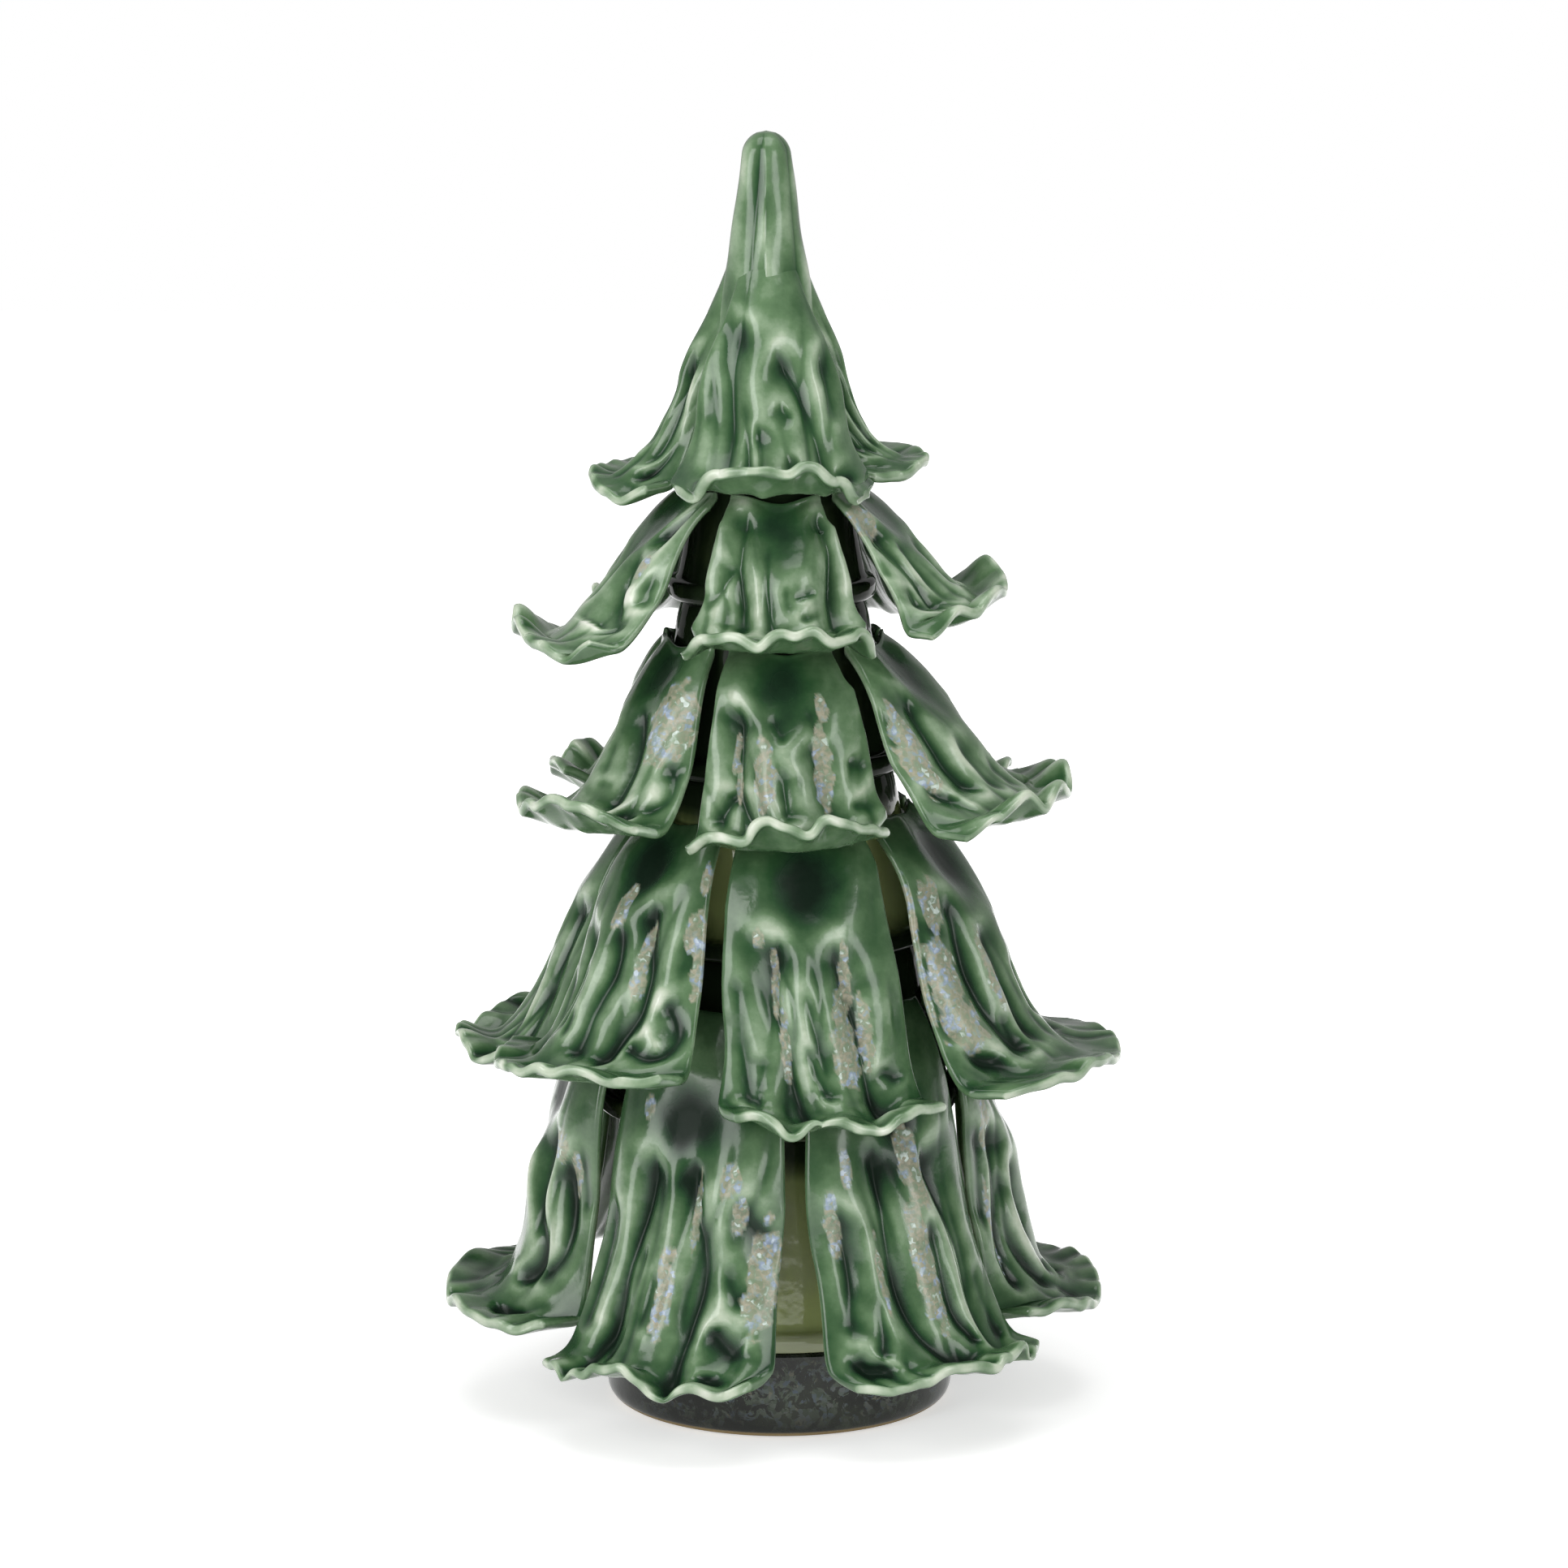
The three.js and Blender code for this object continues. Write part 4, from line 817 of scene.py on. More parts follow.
# Lowest tier: six broad leaves on the second drum. They hang almost straight over the lowest drum and
# kick out at the lip, and two gaps between them show it. A leaf's creases are given as depth, width and
# (u, v) points, its painted reflections as (u, v) places with half widths, and a tier's painted shade as a
# shift of its colour, positive darker and negative paler.
hang_tier({
    "name": "tier_5_leaf", "drop": 103, "reach": 100, "belly": 26, "flare": 26, "sag": 4, "coat": 0.05,
    "half_top": 27, "half_middle": 35, "half_lip": 47, "wrap_top": 50, "wrap_middle": 44, "wrap_lip": 62,
    "thumb": 0.25, "lip_rise": 3, "leaves": [
        {"at": -25, "reach": -3, "drop": 6, "belly": -2, "half_lip": -4, "lean": -7, "seed": 51,
         "lip": [0, 2, 3, 5.5, 7, 1, 2, -1, 2],
         "lustre": [(0.5, 0.35, 0.08, 0.03), (0.6, 0.42, 0.06, 0.03), (0.85, 0.59, 0.12, 0.11),
                    (0.01, 0.6, 0.07, 0.1), (0.2, 0.42, 0.03, 0.07), (-0.5, 0.22, 0.06, 0.02)],
         "creases": [
             (5, 5, [(-0.35, 0.28), (-0.37, 0.33), (-0.4, 0.42), (-0.47, 0.55), (-0.5, 0.7), (-0.6, 0.84),
                     (-0.66, 1)]),
             (2.4, 3.5, [(-0.27, 0.45), (-0.33, 0.6), (-0.38, 0.75), (-0.45, 0.87)]),
             (2, 4, [(-0.1, 0.5), (-0.13, 0.62), (-0.2, 0.74)]),
             (5, 5, [(0.04, 0.28), (0.12, 0.33), (0.22, 0.42), (0.34, 0.5), (0.36, 0.58), (0.3, 0.68),
                     (0.26, 0.8), (0.3, 0.93), (0.36, 1)]),
             (3, 4, [(0.5, 0.37), (0.65, 0.42), (0.85, 0.48), (1, 0.55)]),
             (2.6, 4, [(0.46, 0.5), (0.62, 0.6), (0.76, 0.67)]),
             (3.6, 4.5, [(0.38, 0.65), (0.58, 0.73), (0.72, 0.79), (0.84, 0.76)]),
             (2.6, 4, [(0.4, 0.83), (0.58, 0.88), (0.7, 0.96)]),
             (2.4, 4, [(-0.8, 0.4), (-0.78, 0.52), (-0.82, 0.66), (-0.86, 0.8)]),
         ]},
        {"at": 34, "reach": -2, "drop": 5, "belly": -2, "half_top": -3, "wrap_lip": 16, "lean": 14,
         "seed": 52,
         "lip": [-1, -1.5, 1, 4.2, 1.5, 3.5, 6.5, 3, 2],
         "lustre": [(0.12, 0.33, 0.12, 0.08), (0, 0.56, 0.1, 0.14), (-0.78, 0.46, 0.05, 0.06),
                    (-0.43, 0.57, 0.03, 0.07), (-0.62, 0.33, 0.05, 0.03)],
         "creases": [
             (5, 5.5, [(-0.26, 0.26), (-0.28, 0.31), (-0.32, 0.43), (-0.32, 0.55), (-0.31, 0.65),
                       (-0.22, 0.76), (-0.08, 0.84), (0.02, 0.93)]),
             (2.6, 5, [(-0.7, 0.38), (-0.72, 0.53), (-0.72, 0.6), (-0.76, 0.68), (-0.78, 0.77)]),
             (1.6, 2, [(-0.48, 0.58), (-0.5, 0.64), (-0.55, 0.76), (-0.62, 0.85)]),
             (3, 4, [(0.12, 0.42), (0.18, 0.48), (0.16, 0.55), (0.18, 0.64), (0.2, 0.69), (0.3, 0.76),
                     (0.36, 0.84)]),
             (5, 5, [(0.3, 0.28), (0.35, 0.34), (0.45, 0.41), (0.52, 0.47), (0.57, 0.55), (0.55, 0.62),
                     (0.52, 0.7), (0.53, 0.8), (0.6, 0.92), (0.64, 1)]),
             (2.6, 4, [(0.74, 0.56), (0.75, 0.67), (0.78, 0.74), (0.8, 0.88)]),
             (4, 5, [(-0.9, 0.82), (-0.72, 0.86), (-0.5, 0.85)]),
         ]},
        {"at": 91, "reach": 3, "belly": 8, "flare": 10, "half_middle": 4, "half_lip": 3,
         "wrap_lip": -14, "roll": 4, "seed": 53, "lip": [8, 8, 3.5, 0.6, 2, 3.4, 5, 3, 1],
         "lustre": [(-0.72, 0.33, 0.07, 0.05), (-0.8, 0.53, 0.03, 0.06), (-0.76, 0.64, 0.03, 0.06)],
         "creases": [
             (4, 4, [(-0.85, 0.3), (-0.87, 0.4), (-0.9, 0.5), (-0.88, 0.6)]),
             (4, 4, [(-0.58, 0.3), (-0.63, 0.4), (-0.7, 0.5), (-0.76, 0.6), (-0.72, 0.7), (-0.7, 0.8)]),
             (3.4, 4, [(-0.5, 0.4), (-0.57, 0.5), (-0.6, 0.6), (-0.5, 0.67), (-0.4, 0.74), (-0.3, 0.84)]),
             (-1.6, 3, [(-0.5, 0.48), (-0.5, 0.55), (-0.46, 0.62), (-0.35, 0.7)]),
             (3, 4, [(-0.34, 0.38), (-0.33, 0.5), (-0.3, 0.6), (-0.18, 0.7), (-0.1, 0.8)]),
             (3, 5, [(0.05, 0.4), (0.1, 0.6), (0, 0.75)]),
             (4, 5, [(0.3, 0.3), (0.34, 0.5), (0.25, 0.7), (0.2, 0.9)]),
             (3.5, 5, [(0.62, 0.3), (0.6, 0.5), (0.62, 0.7), (0.66, 0.86)]),
         ]},
        {"at": 148, "reach": -3, "seed": 54},
        {"at": -150, "reach": -4, "seed": 55},
        {"at": -82, "reach": 5, "drop": -1, "belly": 13, "flare": 16, "half_middle": 4, "half_lip": 4,
         "wrap_lip": -15, "roll": -4, "seed": 56, "lip": [2, 4, 5.5, 4, 1.5, 4, 3.7, 3, 6.8],
         "lustre": [(0.55, 0.36, 0.1, 0.03), (0.75, 0.42, 0.05, 0.05)],
         "creases": [
             (-1.8, 3, [(0, 0.36), (0.04, 0.44), (0.1, 0.5), (0.3, 0.57), (0.38, 0.62), (0.3, 0.68),
                        (0.2, 0.75)]),
             (4, 4.5, [(0.32, 0.3), (0.35, 0.36), (0.33, 0.43), (0.3, 0.5), (0.45, 0.57), (0.5, 0.63),
                       (0.45, 0.7), (0.3, 0.77)]),
             (4.6, 5, [(0.56, 0.36), (0.65, 0.43), (0.72, 0.5), (0.78, 0.57), (0.75, 0.63), (0.6, 0.69),
                       (0.5, 0.74)]),
             (3.4, 3.5, [(0.8, 0.34), (0.84, 0.4), (0.9, 0.47), (0.92, 0.56)]),
             (3, 4, [(0.35, 0.93), (0.5, 0.86), (0.66, 0.9)]),
             (3, 5, [(-0.2, 0.3), (-0.2, 0.5), (-0.24, 0.7), (-0.2, 0.85)]),
             (3.4, 5, [(-0.6, 0.3), (-0.6, 0.5), (-0.65, 0.7), (-0.64, 0.86)]),
         ]},
    ],
}, DRUMS[1]["top"] - 14.4, LEAN_PER_MM * DRUMS[1]["bottom"])

# Fourth tier: six leaves on the third drum, flared wide, with the deepest thumb marks at their tops.
hang_tier({
    "name": "tier_4_leaf", "drop": 80, "reach": 100, "belly": 36, "flare": 34, "sag": 4, "coat": 0.03,
    "half_top": 24, "half_middle": 33, "half_lip": 48, "wrap_top": 40, "wrap_middle": 40, "wrap_lip": 58,
    "thumb": 0.14, "lip_rise": 4, "leaves": [
        {"at": 10, "reach": -12, "drop": 5, "half_middle": -3, "half_lip": -9, "lean": 8, "seed": 41,
         "lip": [3, 4.5, 0.5, 5.8, 2.5, 0, 4, 4.8, 3],
         "lustre": [(-0.43, 0.4, 0.04, 0.08), (-0.36, 0.56, 0.04, 0.1), (0.25, 0.57, 0.12, 0.12),
                    (0.36, 0.4, 0.05, 0.08), (0.49, 0.56, 0.05, 0.1), (-0.6, 0.28, 0.06, 0.02)],
         "creases": [
             (5, 5, [(-0.34, 0.25), (-0.37, 0.3), (-0.47, 0.39), (-0.44, 0.47), (-0.36, 0.55), (-0.34, 0.62),
                     (-0.32, 0.7), (-0.27, 0.8), (-0.22, 0.9), (-0.25, 1)]),
             (2.4, 3.5, [(-0.18, 0.52), (-0.14, 0.58), (-0.08, 0.65), (-0.02, 0.73), (0, 0.81)]),
             (5, 5, [(0.22, 0.26), (0.27, 0.33), (0.3, 0.385), (0.37, 0.455), (0.42, 0.52), (0.43, 0.6),
                     (0.43, 0.67), (0.45, 0.76), (0.5, 0.85), (0.54, 0.95)]),
             (-1.4, 3, [(0.42, 0.4), (0.52, 0.5), (0.54, 0.6), (0.54, 0.7)]),
             (2.6, 5, [(-0.85, 0.35), (-0.8, 0.5), (-0.8, 0.62), (-0.75, 0.72), (-0.7, 0.85)]),
             (2.4, 4, [(-0.53, 0.56), (-0.62, 0.68), (-0.68, 0.78)]),
             (1.8, 3, [(-0.12, 0.37), (-0.07, 0.5), (0, 0.6), (0.02, 0.72)]),
             (1.2, 2.5, [(0.8, 0.38), (0.82, 0.5), (0.8, 0.6)]),
             (2.6, 3.5, [(0.48, 0.64), (0.72, 0.7), (0.88, 0.75)]),
             (2, 3, [(0.5, 0.7), (0.62, 0.8), (0.7, 0.88)]),
         ]},
        {"at": -47, "reach": 2, "drop": -6, "half_middle": 4, "half_lip": 4, "lean": -8, "seed": 42,
         "lip": [5, 3.5, 3, 3.5, 4.4, 4.6, 6.9, 3, 4.5],
         "lustre": [(0.4, 0.38, 0.05, 0.07), (0.42, 0.46, 0.06, 0.05), (0.9, 0.32, 0.08, 0.05),
                    (0.96, 0.4, 0.06, 0.1), (0.95, 0.17, 0.05, 0.04), (-0.05, 0.25, 0.08, 0.06)],
         "creases": [
             (5, 5, [(0.3, 0.2), (0.38, 0.27), (0.46, 0.34), (0.54, 0.43), (0.55, 0.5), (0.51, 0.57),
                     (0.42, 0.64), (0.37, 0.71), (0.35, 0.82)]),
             (3.4, 4.5, [(-0.04, 0.27), (0.08, 0.34), (0.14, 0.4), (0.15, 0.46), (0.1, 0.54), (0.1, 0.65),
                         (0.1, 0.8)]),
             (4, 4, [(0.42, 0.62), (0.48, 0.67), (0.58, 0.71), (0.72, 0.74), (0.83, 0.72), (0.9, 0.655),
                     (0.84, 0.6), (0.7, 0.53), (0.62, 0.49)]),
             (-1.6, 2.5, [(0.62, 0.45), (0.68, 0.53), (0.8, 0.6), (0.85, 0.66)]),
             (1.6, 2.5, [(-0.14, 0.54), (-0.12, 0.64), (-0.1, 0.72)]),
             (2, 3, [(0.8, 0.3), (0.9, 0.38), (0.92, 0.48)]),
             (4, 5, [(-0.46, 0.3), (-0.5, 0.5), (-0.55, 0.7), (-0.56, 0.86)]),
             (2.4, 3.5, [(-0.25, 0.4), (-0.28, 0.55), (-0.26, 0.7)]),
         ]},
        {"at": -97, "reach": 1, "drop": -1, "belly": -3, "seed": 43},
        {"at": 71, "reach": 11, "drop": -3, "belly": 6, "flare": 10, "half_middle": 5, "half_lip": 2,
         "roll": 4, "seed": 44, "lip": [2.9, 5.2, 4.5, 6.5, 3.2, 1, 1.5, 1, 0],
         "lustre": [(-0.74, 0.25, 0.11, 0.06), (-0.78, 0.46, 0.14, 0.1), (-0.76, 0.6, 0.15, 0.09),
                    (-0.98, 0.3, 0.03, 0.1), (-0.98, 0.5, 0.03, 0.1), (-0.28, 0.45, 0.05, 0.1)],
         "creases": [
             (5, 5, [(-0.44, 0.2), (-0.48, 0.28), (-0.5, 0.38), (-0.5, 0.48), (-0.47, 0.55), (-0.42, 0.62),
                     (-0.3, 0.69), (-0.2, 0.78)]),
             (2.4, 4, [(-0.92, 0.24), (-0.93, 0.34), (-0.92, 0.48), (-0.9, 0.6), (-0.85, 0.7)]),
             (3, 4, [(-0.2, 0.3), (-0.15, 0.45), (-0.12, 0.56), (-0.1, 0.66), (-0.03, 0.78)]),
             (3, 3.5, [(-0.36, 0.54), (-0.33, 0.6), (-0.27, 0.68), (-0.18, 0.76)]),
             (2, 3, [(0.08, 0.56), (0.1, 0.62), (0.12, 0.7), (0.12, 0.8)]),
             (2.2, 3.5, [(-1, 0.31), (-0.8, 0.325), (-0.5, 0.33)]),
             (3.4, 5, [(-0.92, 0.7), (-0.7, 0.745), (-0.45, 0.74)]),
             (4, 5, [(0.45, 0.3), (0.55, 0.5), (0.6, 0.7), (0.6, 0.86)]),
             (2.6, 4, [(0.25, 0.4), (0.3, 0.55), (0.28, 0.7)]),
         ]},
        {"at": 128, "reach": -8, "drop": -6, "seed": 45},
        {"at": 182, "reach": -10, "drop": -6, "seed": 46},
    ],
}, DRUMS[2]["top"] - 12.4, LEAN_PER_MM * DRUMS[2]["bottom"])

# Third tier: six leaves on the fourth drum, shorter and set steeper than those below.
hang_tier({
    "name": "tier_3_leaf", "drop": 54, "reach": 85, "belly": 26, "flare": 28, "sag": 4, "coat": -0.06,
    "half_top": 21, "half_middle": 29, "half_lip": 42, "wrap_top": 32, "wrap_middle": 32, "wrap_lip": 45,
    "thumb": 0.14, "lip_rise": 7, "leaves": [
        {"at": 5, "reach": -11, "drop": 3, "lean": 3, "tuck_right": 8, "seed": 31,
         "lip": [-0.5, 5, 5.5, 11.5, 7.5, 11, 9.5, 6.5, 3.5],
         "lustre": [(-0.28, 0.48, 0.1, 0.12), (0.38, 0.45, 0.08, 0.15), (-0.66, 0.4, 0.03, 0.07),
                    (-0.6, 0.52, 0.03, 0.06), (0.45, 0.23, 0.06, 0.04)],
         "creases": [
             (5, 5, [(-0.62, 0.18), (-0.62, 0.3), (-0.6, 0.4), (-0.57, 0.48), (-0.57, 0.54), (-0.5, 0.61),
                     (-0.42, 0.68), (-0.37, 0.75), (-0.4, 0.86)]),
             (4.4, 4.5, [(-0.57, 0.48), (-0.6, 0.54), (-0.68, 0.6), (-0.75, 0.67), (-0.82, 0.78)]),
             (2.4, 3.5, [(-0.36, 0.54), (-0.32, 0.6), (-0.25, 0.67), (-0.2, 0.76)]),
             (2, 4, [(-0.22, 0.22), (-0.1, 0.31), (0.02, 0.37)]),
             (2.4, 5, [(-0.05, 0.38), (-0.06, 0.5), (-0.05, 0.6), (-0.06, 0.74)]),
             (1.6, 3, [(0.09, 0.43), (0.1, 0.5), (0.1, 0.6)]),
             (3.8, 4.5, [(0.24, 0.28), (0.28, 0.36), (0.31, 0.44), (0.34, 0.52), (0.38, 0.6), (0.44, 0.68),
                         (0.52, 0.78)]),
             (2, 4, [(0.22, 0.18), (0.33, 0.28), (0.44, 0.38)]),
             (2.6, 3.5, [(0.56, 0.43), (0.8, 0.46), (1, 0.5)]),
             (2.6, 3.5, [(0.5, 0.6), (0.75, 0.64), (1, 0.68)]),
         ]},
        {"at": -61, "drop": 1, "belly": -5, "half_middle": 3, "roll": 2, "seed": 32,
         "lip": [5, 8, 7, 5, 8, 11, 10, 7, 2],
         "lustre": [(0.68, 0.33, 0.25, 0.13)],
         "creases": [
             (5, 5, [(-0.06, 0.22), (0.06, 0.28), (0.18, 0.35), (0.3, 0.44), (0.35, 0.52), (0.36, 0.59),
                     (0.37, 0.66), (0.28, 0.76)]),
             (3.6, 4, [(0.7, 0.46), (0.8, 0.5), (0.87, 0.54), (0.91, 0.6), (0.9, 0.65), (0.83, 0.69),
                       (0.7, 0.7), (0.58, 0.66)]),
             (2, 4, [(-0.14, 0.36), (0, 0.5), (0.06, 0.6)]),
             (1.6, 3, [(-0.04, 0.58), (0.1, 0.59), (0.32, 0.58)]),
             (4, 5, [(0.4, 0.7), (0.55, 0.73), (0.7, 0.77)]),
             (4, 5, [(-0.5, 0.3), (-0.55, 0.5), (-0.58, 0.7), (-0.6, 0.86)]),
         ]},
        {"at": -121, "reach": -8, "drop": -2, "belly": -4, "seed": 33},
        {"at": 68, "reach": 11, "drop": -3, "belly": 5, "half_middle": 4, "roll": 4, "seed": 34,
         "lip": [2, 7, 11, 5, 9, 4, 9, 7, 4],
         "lustre": [(-0.78, 0.46, 0.13, 0.16)],
         "creases": [
             (5, 5, [(-0.44, 0.18), (-0.48, 0.26), (-0.5, 0.34), (-0.46, 0.42), (-0.43, 0.5), (-0.4, 0.56),
                     (-0.38, 0.61), (-0.26, 0.7)]),
             (3, 4, [(-0.18, 0.38), (-0.15, 0.47), (-0.12, 0.55), (-0.1, 0.62), (-0.02, 0.74)]),
             (2.4, 3.5, [(0.12, 0.5), (0.16, 0.6), (0.2, 0.68), (0.2, 0.78)]),
             (2.4, 4, [(-0.9, 0.24), (-0.91, 0.36), (-0.95, 0.52)]),
             (3.4, 5, [(-0.92, 0.6), (-0.7, 0.67), (-0.5, 0.68)]),
             (4, 5, [(0.5, 0.3), (0.58, 0.5), (0.62, 0.7), (0.62, 0.86)]),
         ]},
        {"at": 126, "reach": -1, "seed": 35},
        {"at": 182, "seed": 36},
    ],
}, DRUMS[3]["top"] - 11.5, LEAN_PER_MM * DRUMS[3]["bottom"])

# Second tier: five small leaves on the top drum, long and narrow where they leave it.
hang_tier({
    "name": "tier_2_leaf", "drop": 48, "reach": 78, "belly": 24, "flare": 26, "sag": 3, "coat": -0.12,
    "half_top": 18, "half_middle": 24, "half_lip": 36, "wrap_top": 24, "wrap_middle": 26, "wrap_lip": 38,
    "thumb": 0.14, "lip_rise": 7, "leaves": [
        {"at": 4, "reach": -16, "drop": -4, "belly": -4, "half_middle": 2, "half_lip": 2,
         "tuck_left": 5, "tuck_right": 10, "seed": 21,
         "lip": [-2, 4, 5.5, 3.2, 7.5, 7, 3, 6, -2],
         "creases": [
             (5, 4.5, [(-0.54, 0.04), (-0.58, 0.2), (-0.57, 0.3), (-0.56, 0.42), (-0.5, 0.54), (-0.45, 0.65),
                       (-0.4, 0.78)]),
             (3.4, 4, [(-0.56, 0.28), (-0.62, 0.34), (-0.72, 0.42), (-0.82, 0.52), (-0.94, 0.64)]),
             (3.6, 4, [(-0.17, 0.18), (-0.16, 0.3), (-0.15, 0.46), (-0.13, 0.57), (-0.11, 0.67),
                       (-0.04, 0.8)]),
             (1.4, 2.5, [(-0.35, 0.46), (-0.33, 0.6), (-0.32, 0.72)]),
             (2, 3.5, [(0.05, 0.38), (0.06, 0.5), (0.1, 0.64)]),
             (2, 3, [(0.02, 0.51), (0.28, 0.49), (0.56, 0.455)]),
             (2, 3, [(0.12, 0.64), (0.35, 0.61), (0.58, 0.595)]),
             (5, 4.5, [(0.76, 0.06), (0.8, 0.2), (0.8, 0.3), (0.77, 0.38), (0.73, 0.48), (0.68, 0.59),
                       (0.63, 0.68), (0.61, 0.8)]),
         ]},
        {"at": -72, "reach": 3, "drop": 1, "belly": 7, "half_middle": 3, "half_lip": -2, "lean": -5,
         "roll": 4, "seed": 22,
         "lip": [6, 9, 12, 7, 10, 4, 1, -2, 3],
         "lustre": [(0.6, 0.345, 0.07, 0.05)],
         "creases": [
             (4.4, 4.5, [(0.22, 0.22), (0.3, 0.3), (0.35, 0.4), (0.45, 0.5), (0.6, 0.6), (0.74, 0.65),
                         (0.6, 0.72), (0.45, 0.73)]),
             (-1.4, 2.5, [(0.5, 0.42), (0.56, 0.48), (0.62, 0.55)]),
             (3, 4.5, [(0.78, 0.36), (0.85, 0.48), (0.9, 0.6)]),
             (3, 4, [(-0.1, 0.15), (-0.12, 0.3), (-0.15, 0.45), (-0.18, 0.6)]),
             (4, 6, [(0.4, 0.16), (0.6, 0.2), (0.85, 0.2)]),
             (4, 5, [(-0.5, 0.25), (-0.55, 0.5), (-0.6, 0.8)]),
         ]},
        {"at": 76, "reach": -4, "drop": -10, "belly": 3, "flare": -2, "roll": 4, "seed": 23,
         "lip": [1, 7, 5.5, 9.5, 7, 7.5, 9, 11, 5],
         "lustre": [(-0.8, 0.18, 0.2, 0.07)],
         "creases": [
             (5, 4.5, [(-0.58, 0.14), (-0.63, 0.22), (-0.65, 0.3), (-0.6, 0.4), (-0.55, 0.48), (-0.47, 0.56),
                       (-0.43, 0.66), (-0.38, 0.78)]),
             (3.2, 3.5, [(-0.38, 0.22), (-0.35, 0.35), (-0.3, 0.45), (-0.25, 0.55), (-0.2, 0.65),
                         (-0.08, 0.77)]),
             (3.4, 4, [(-0.7, 0.48), (-0.74, 0.56), (-0.73, 0.66), (-0.66, 0.78)]),
             (2, 3, [(-1, 0.34), (-0.92, 0.42), (-0.96, 0.54)]),
             (3, 5, [(-0.95, 0.28), (-0.8, 0.31), (-0.68, 0.3)]),
             (3, 4, [(0.25, 0.25), (0.3, 0.45), (0.34, 0.7)]),
             (3.6, 4.5, [(0.7, 0.25), (0.7, 0.5), (0.74, 0.8)]),
         ]},
        {"at": 150, "seed": 24},
        {"at": -148, "seed": 25},
    ],
}, DRUMS[4]["top"] - 10.8, LEAN_PER_MM * DRUMS[4]["bottom"])

# Crown: four leaves luted to the spire. Their tops are smoothed into it with a wet finger, so that
# spire and crown read as one bell that splits into four petals.
hang_tier({
    "name": "crown_leaf", "drop": 71, "reach": 52, "belly": 4, "flare": 22, "sag": 4, "coat": -0.01,
    "half_top": 12, "half_middle": 26, "half_lip": 37, "wrap_top": 13, "wrap_middle": 26, "wrap_lip": 32,
    "top_thickness": 1.3, "top_clearance": 1.1, "smoothed": 0.4, "lip_rise": 4, "leaves": [
        {"at": 5, "reach": -5, "belly": 4, "flare": -5, "half_lip": 5, "claim": 2, "seed": 11,
         "lip": [0, -0.5, 6.5, 9.4, 7.5, 9.6, 3.8, -2.8, -1],
         "creases": [
             (3.8, 5, [(-0.5, 0.2), (-0.56, 0.3), (-0.52, 0.45), (-0.49, 0.6), (-0.47, 0.75), (-0.43, 0.92)]),
             (2.6, 3, [(-0.46, 0.42), (-0.34, 0.5), (-0.28, 0.65), (-0.24, 0.85)]),
             (3, 3, [(-0.2, 0.5), (-0.16, 0.62), (-0.13, 0.75), (-0.12, 0.95)]),
             (3.8, 4, [(0, 0.28), (0.1, 0.34), (0.25, 0.4), (0.38, 0.48), (0.46, 0.58), (0.49, 0.68),
                       (0.47, 0.8), (0.43, 0.94)]),
             (1.8, 3, [(0.02, 0.45), (0.1, 0.5), (0.2, 0.53), (0.32, 0.54)]),
             (2.4, 3.5, [(0.14, 0.62), (0.2, 0.7), (0.26, 0.78), (0.24, 0.92)]),
             (2.6, 4, [(0.5, 0.72), (0.62, 0.8), (0.76, 0.87)]),
             (2.4, 5, [(0.7, 0.3), (0.74, 0.45), (0.76, 0.6)]),
             (2.2, 5, [(-0.8, 0.36), (-0.8, 0.5), (-0.76, 0.64)]),
         ]},
        {"at": -93, "reach": 3, "drop": 3, "belly": 4, "seed": 12,
         "lip": [3, 4, 4, 4.5, 4.5, 2, 0, -2, 2],
         "creases": [
             (-1.6, 3, [(0.56, 0.34), (0.66, 0.45), (0.78, 0.56), (0.85, 0.66)]),
             (3.4, 4, [(0.3, 0.3), (0.42, 0.4), (0.54, 0.5), (0.6, 0.6), (0.56, 0.68), (0.5, 0.78)]),
             (2.6, 4, [(0.08, 0.38), (0.14, 0.5), (0.2, 0.6), (0.26, 0.7)]),
             (3, 3.5, [(0.82, 0.6), (0.77, 0.7), (0.68, 0.78), (0.58, 0.88)]),
             (3, 4, [(-0.2, 0.35), (-0.22, 0.55), (-0.2, 0.75)]),
             (3, 4, [(-0.6, 0.35), (-0.6, 0.55), (-0.55, 0.8)]),
         ]},
        {"at": 98, "reach": -1, "drop": -2, "belly": 3, "flare": 3, "seed": 13,
         "lip": [0, -1, 1, 3, 3, 4, 4, 4.5, 4],
         "creases": [
             (4.4, 4.5, [(-0.46, 0.3), (-0.55, 0.4), (-0.63, 0.5), (-0.7, 0.6), (-0.66, 0.7), (-0.58, 0.82)]),
             (2.6, 3, [(-0.28, 0.38), (-0.35, 0.52), (-0.35, 0.65), (-0.2, 0.78)]),
             (2.2, 3, [(-0.1, 0.42), (-0.12, 0.6), (-0.08, 0.7), (0.02, 0.82)]),
             (2.2, 3, [(-1, 0.72), (-0.9, 0.76), (-0.7, 0.81)]),
             (3, 4, [(0.2, 0.35), (0.22, 0.55), (0.2, 0.78)]),
             (3, 4, [(0.6, 0.35), (0.6, 0.55), (0.6, 0.8)]),
         ]},
        {"at": 184, "seed": 14},
    ],
}, SPIRE_BOTTOM + 62, SPIRE_SHIFT)

# Studio: a white floor and surround, with two large soft lamps in front and one above. The camera sees
# the surround white and the floor white away from the tree, reflections see a greyer surround, and the floor
# keeps the tree's shadow, deepened by painted shade where its glow is weaker near the tree.
from mathutils import Vector

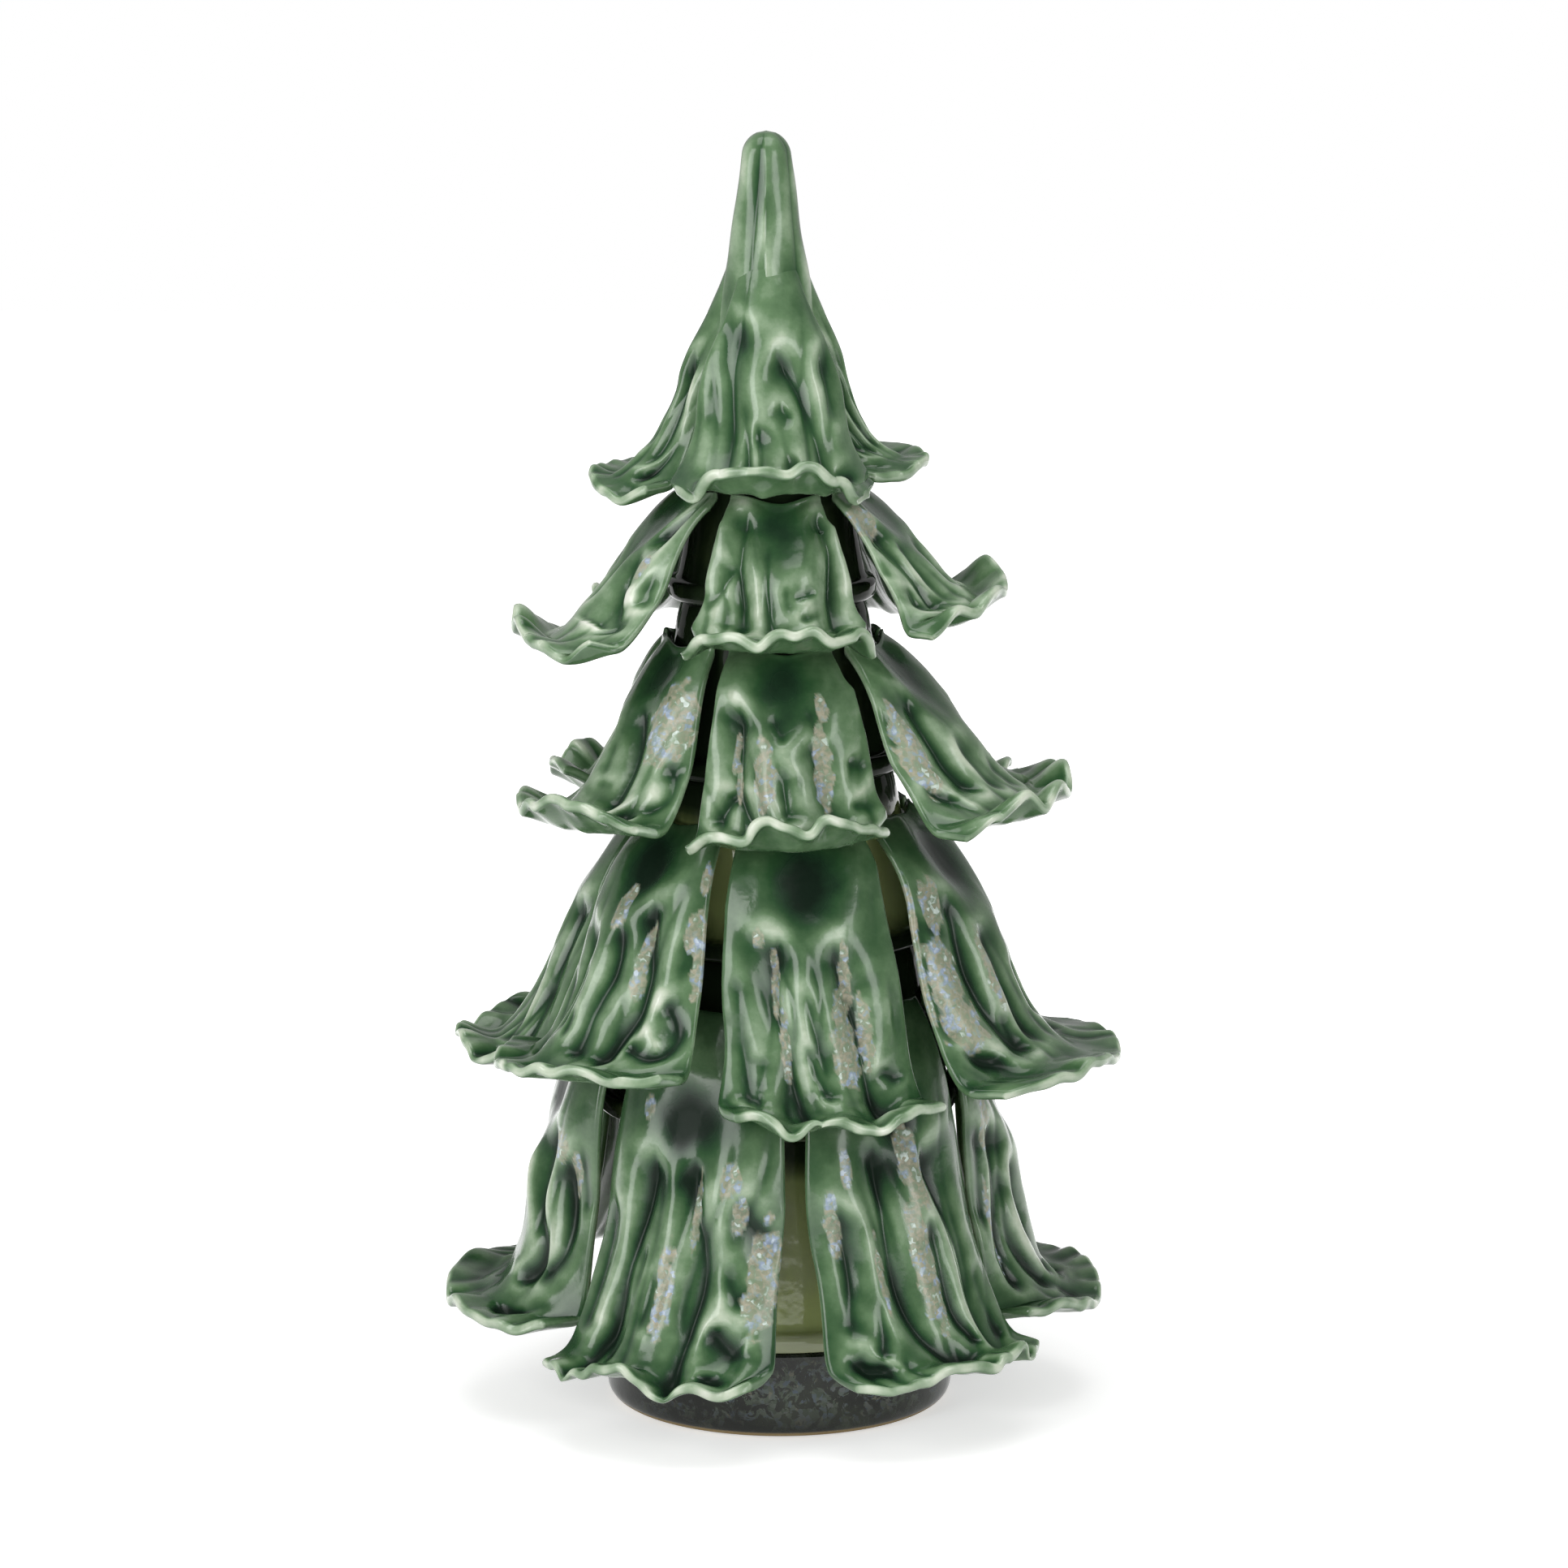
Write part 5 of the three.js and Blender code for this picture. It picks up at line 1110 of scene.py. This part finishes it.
scene = bpy.context.scene
scene.view_settings.view_transform = "Standard"
floor_mesh = bpy.data.meshes.new("studio_floor")
reach = 3.0
floor_mesh.from_pydata([(-reach, -reach, 0), (reach, -reach, 0), (reach, reach, 0), (-reach, reach, 0)], [],
                       [(0, 1, 2, 3)])
floor = bpy.data.objects.new("studio_floor", floor_mesh)
scene.collection.objects.link(floor)
floor_paint, tree = start_material("white_floor_paint")
rays = add(tree, "ShaderNodeLightPath")
seen = add(
    tree, "ShaderNodeMath",
    {0: rays.outputs["Is Camera Ray"], 1: rays.outputs["Is Glossy Ray"]}, operation="MAXIMUM",
)
away = add(
    tree, "ShaderNodeVectorMath", {0: add(tree, "ShaderNodeTexCoord").outputs["Object"]}, operation="LENGTH",
)
# Painted shade: the floor's glow is half as strong within 0.12 m of the tree's axis and rises to full at 0.6
# m.
whiter = add(
    tree, "ShaderNodeMapRange",
    {"Value": away.outputs["Value"], "From Min": 0.12, "From Max": 0.6, "To Min": 0.5, "To Max": 1.0},
    interpolation_type="SMOOTHSTEP",
)
glow = add(
    tree, "ShaderNodeEmission",
    {"Color": linear("#ffffff"), "Strength": add(
        tree, "ShaderNodeMath", {0: seen.outputs[0], 1: whiter.outputs["Result"]}, operation="MULTIPLY",
    ).outputs[0]},
)
paint = add(tree, "ShaderNodeBsdfDiffuse", {"Color": linear("#e6e6e6")})
both = add(tree, "ShaderNodeAddShader", {0: paint.outputs["BSDF"], 1: glow.outputs["Emission"]})
add(tree, "ShaderNodeOutputMaterial", {"Surface": both.outputs["Shader"]})
floor_mesh.materials.append(floor_paint)

world = bpy.data.worlds.new("studio_surround")
scene.world = world
world.use_nodes = True
tree = world.node_tree
tree.nodes.clear()
rays = add(tree, "ShaderNodeLightPath")
toward = add(
    tree, "ShaderNodeSeparateXYZ", {"Vector": add(tree, "ShaderNodeTexCoord").outputs["Generated"]},
).outputs["Y"]
behind = add(
    tree, "ShaderNodeMapRange",
    {"Value": toward, "From Min": -0.35, "From Max": 0.35, "To Min": 0.14, "To Max": 0.5},
    interpolation_type="SMOOTHSTEP",
)
ambient = 0.5
lit = add(
    tree, "ShaderNodeMix",
    {"Factor": rays.outputs["Is Glossy Ray"], "A": ambient, "B": behind.outputs["Result"]},
    data_type="FLOAT",
)
strength = add(
    tree, "ShaderNodeMath", {0: lit.outputs["Result"], 1: rays.outputs["Is Camera Ray"]}, operation="MAXIMUM",
)
surround = add(tree, "ShaderNodeBackground", {"Color": linear("#ffffff"), "Strength": strength.outputs[0]})
add(tree, "ShaderNodeOutputWorld", {"Surface": surround.outputs["Background"]})


def softbox(name, place, aim, width, height, watts):
    """A rectangular lamp at a place, turned to face an aim point, of a size and power."""
    lamp = bpy.data.lights.new(name, "AREA")
    lamp.shape = "RECTANGLE"
    lamp.size, lamp.size_y, lamp.energy = width, height, watts
    made = bpy.data.objects.new(name, lamp)
    made.location = place
    made.rotation_mode = "QUATERNION"
    made.rotation_quaternion = (Vector(aim) - Vector(place)).to_track_quat("-Z", "Y")
    scene.collection.objects.link(made)


softbox("key_softbox", (-1.25, -1.25, 0.75), (0, 0, 0.2), 0.9, 1.5, 20)
softbox("fill_softbox", (1.15, -1.35, 0.6), (0, 0, 0.2), 0.6, 1.4, 11)
softbox("top_softbox", (0.0, -0.3, 1.9), (0, 0, 0.2), 1.2, 1.2, 13)

# Camera: a long lens a little above the tree's middle, looking slightly down on it.
eye, aim = Vector((0.0015, -1.8, 0.55)), Vector((0.0015, 0, 0.196))
camera_data = bpy.data.cameras.new("camera")
camera_data.sensor_width = 36
camera_data.lens = 135.17
camera_data.clip_start, camera_data.clip_end = 0.05, 20
camera = bpy.data.objects.new("camera", camera_data)
camera.location = eye
camera.rotation_mode = "QUATERNION"
camera.rotation_quaternion = (aim - eye).to_track_quat("-Z", "Y")
scene.collection.objects.link(camera)
scene.camera = camera
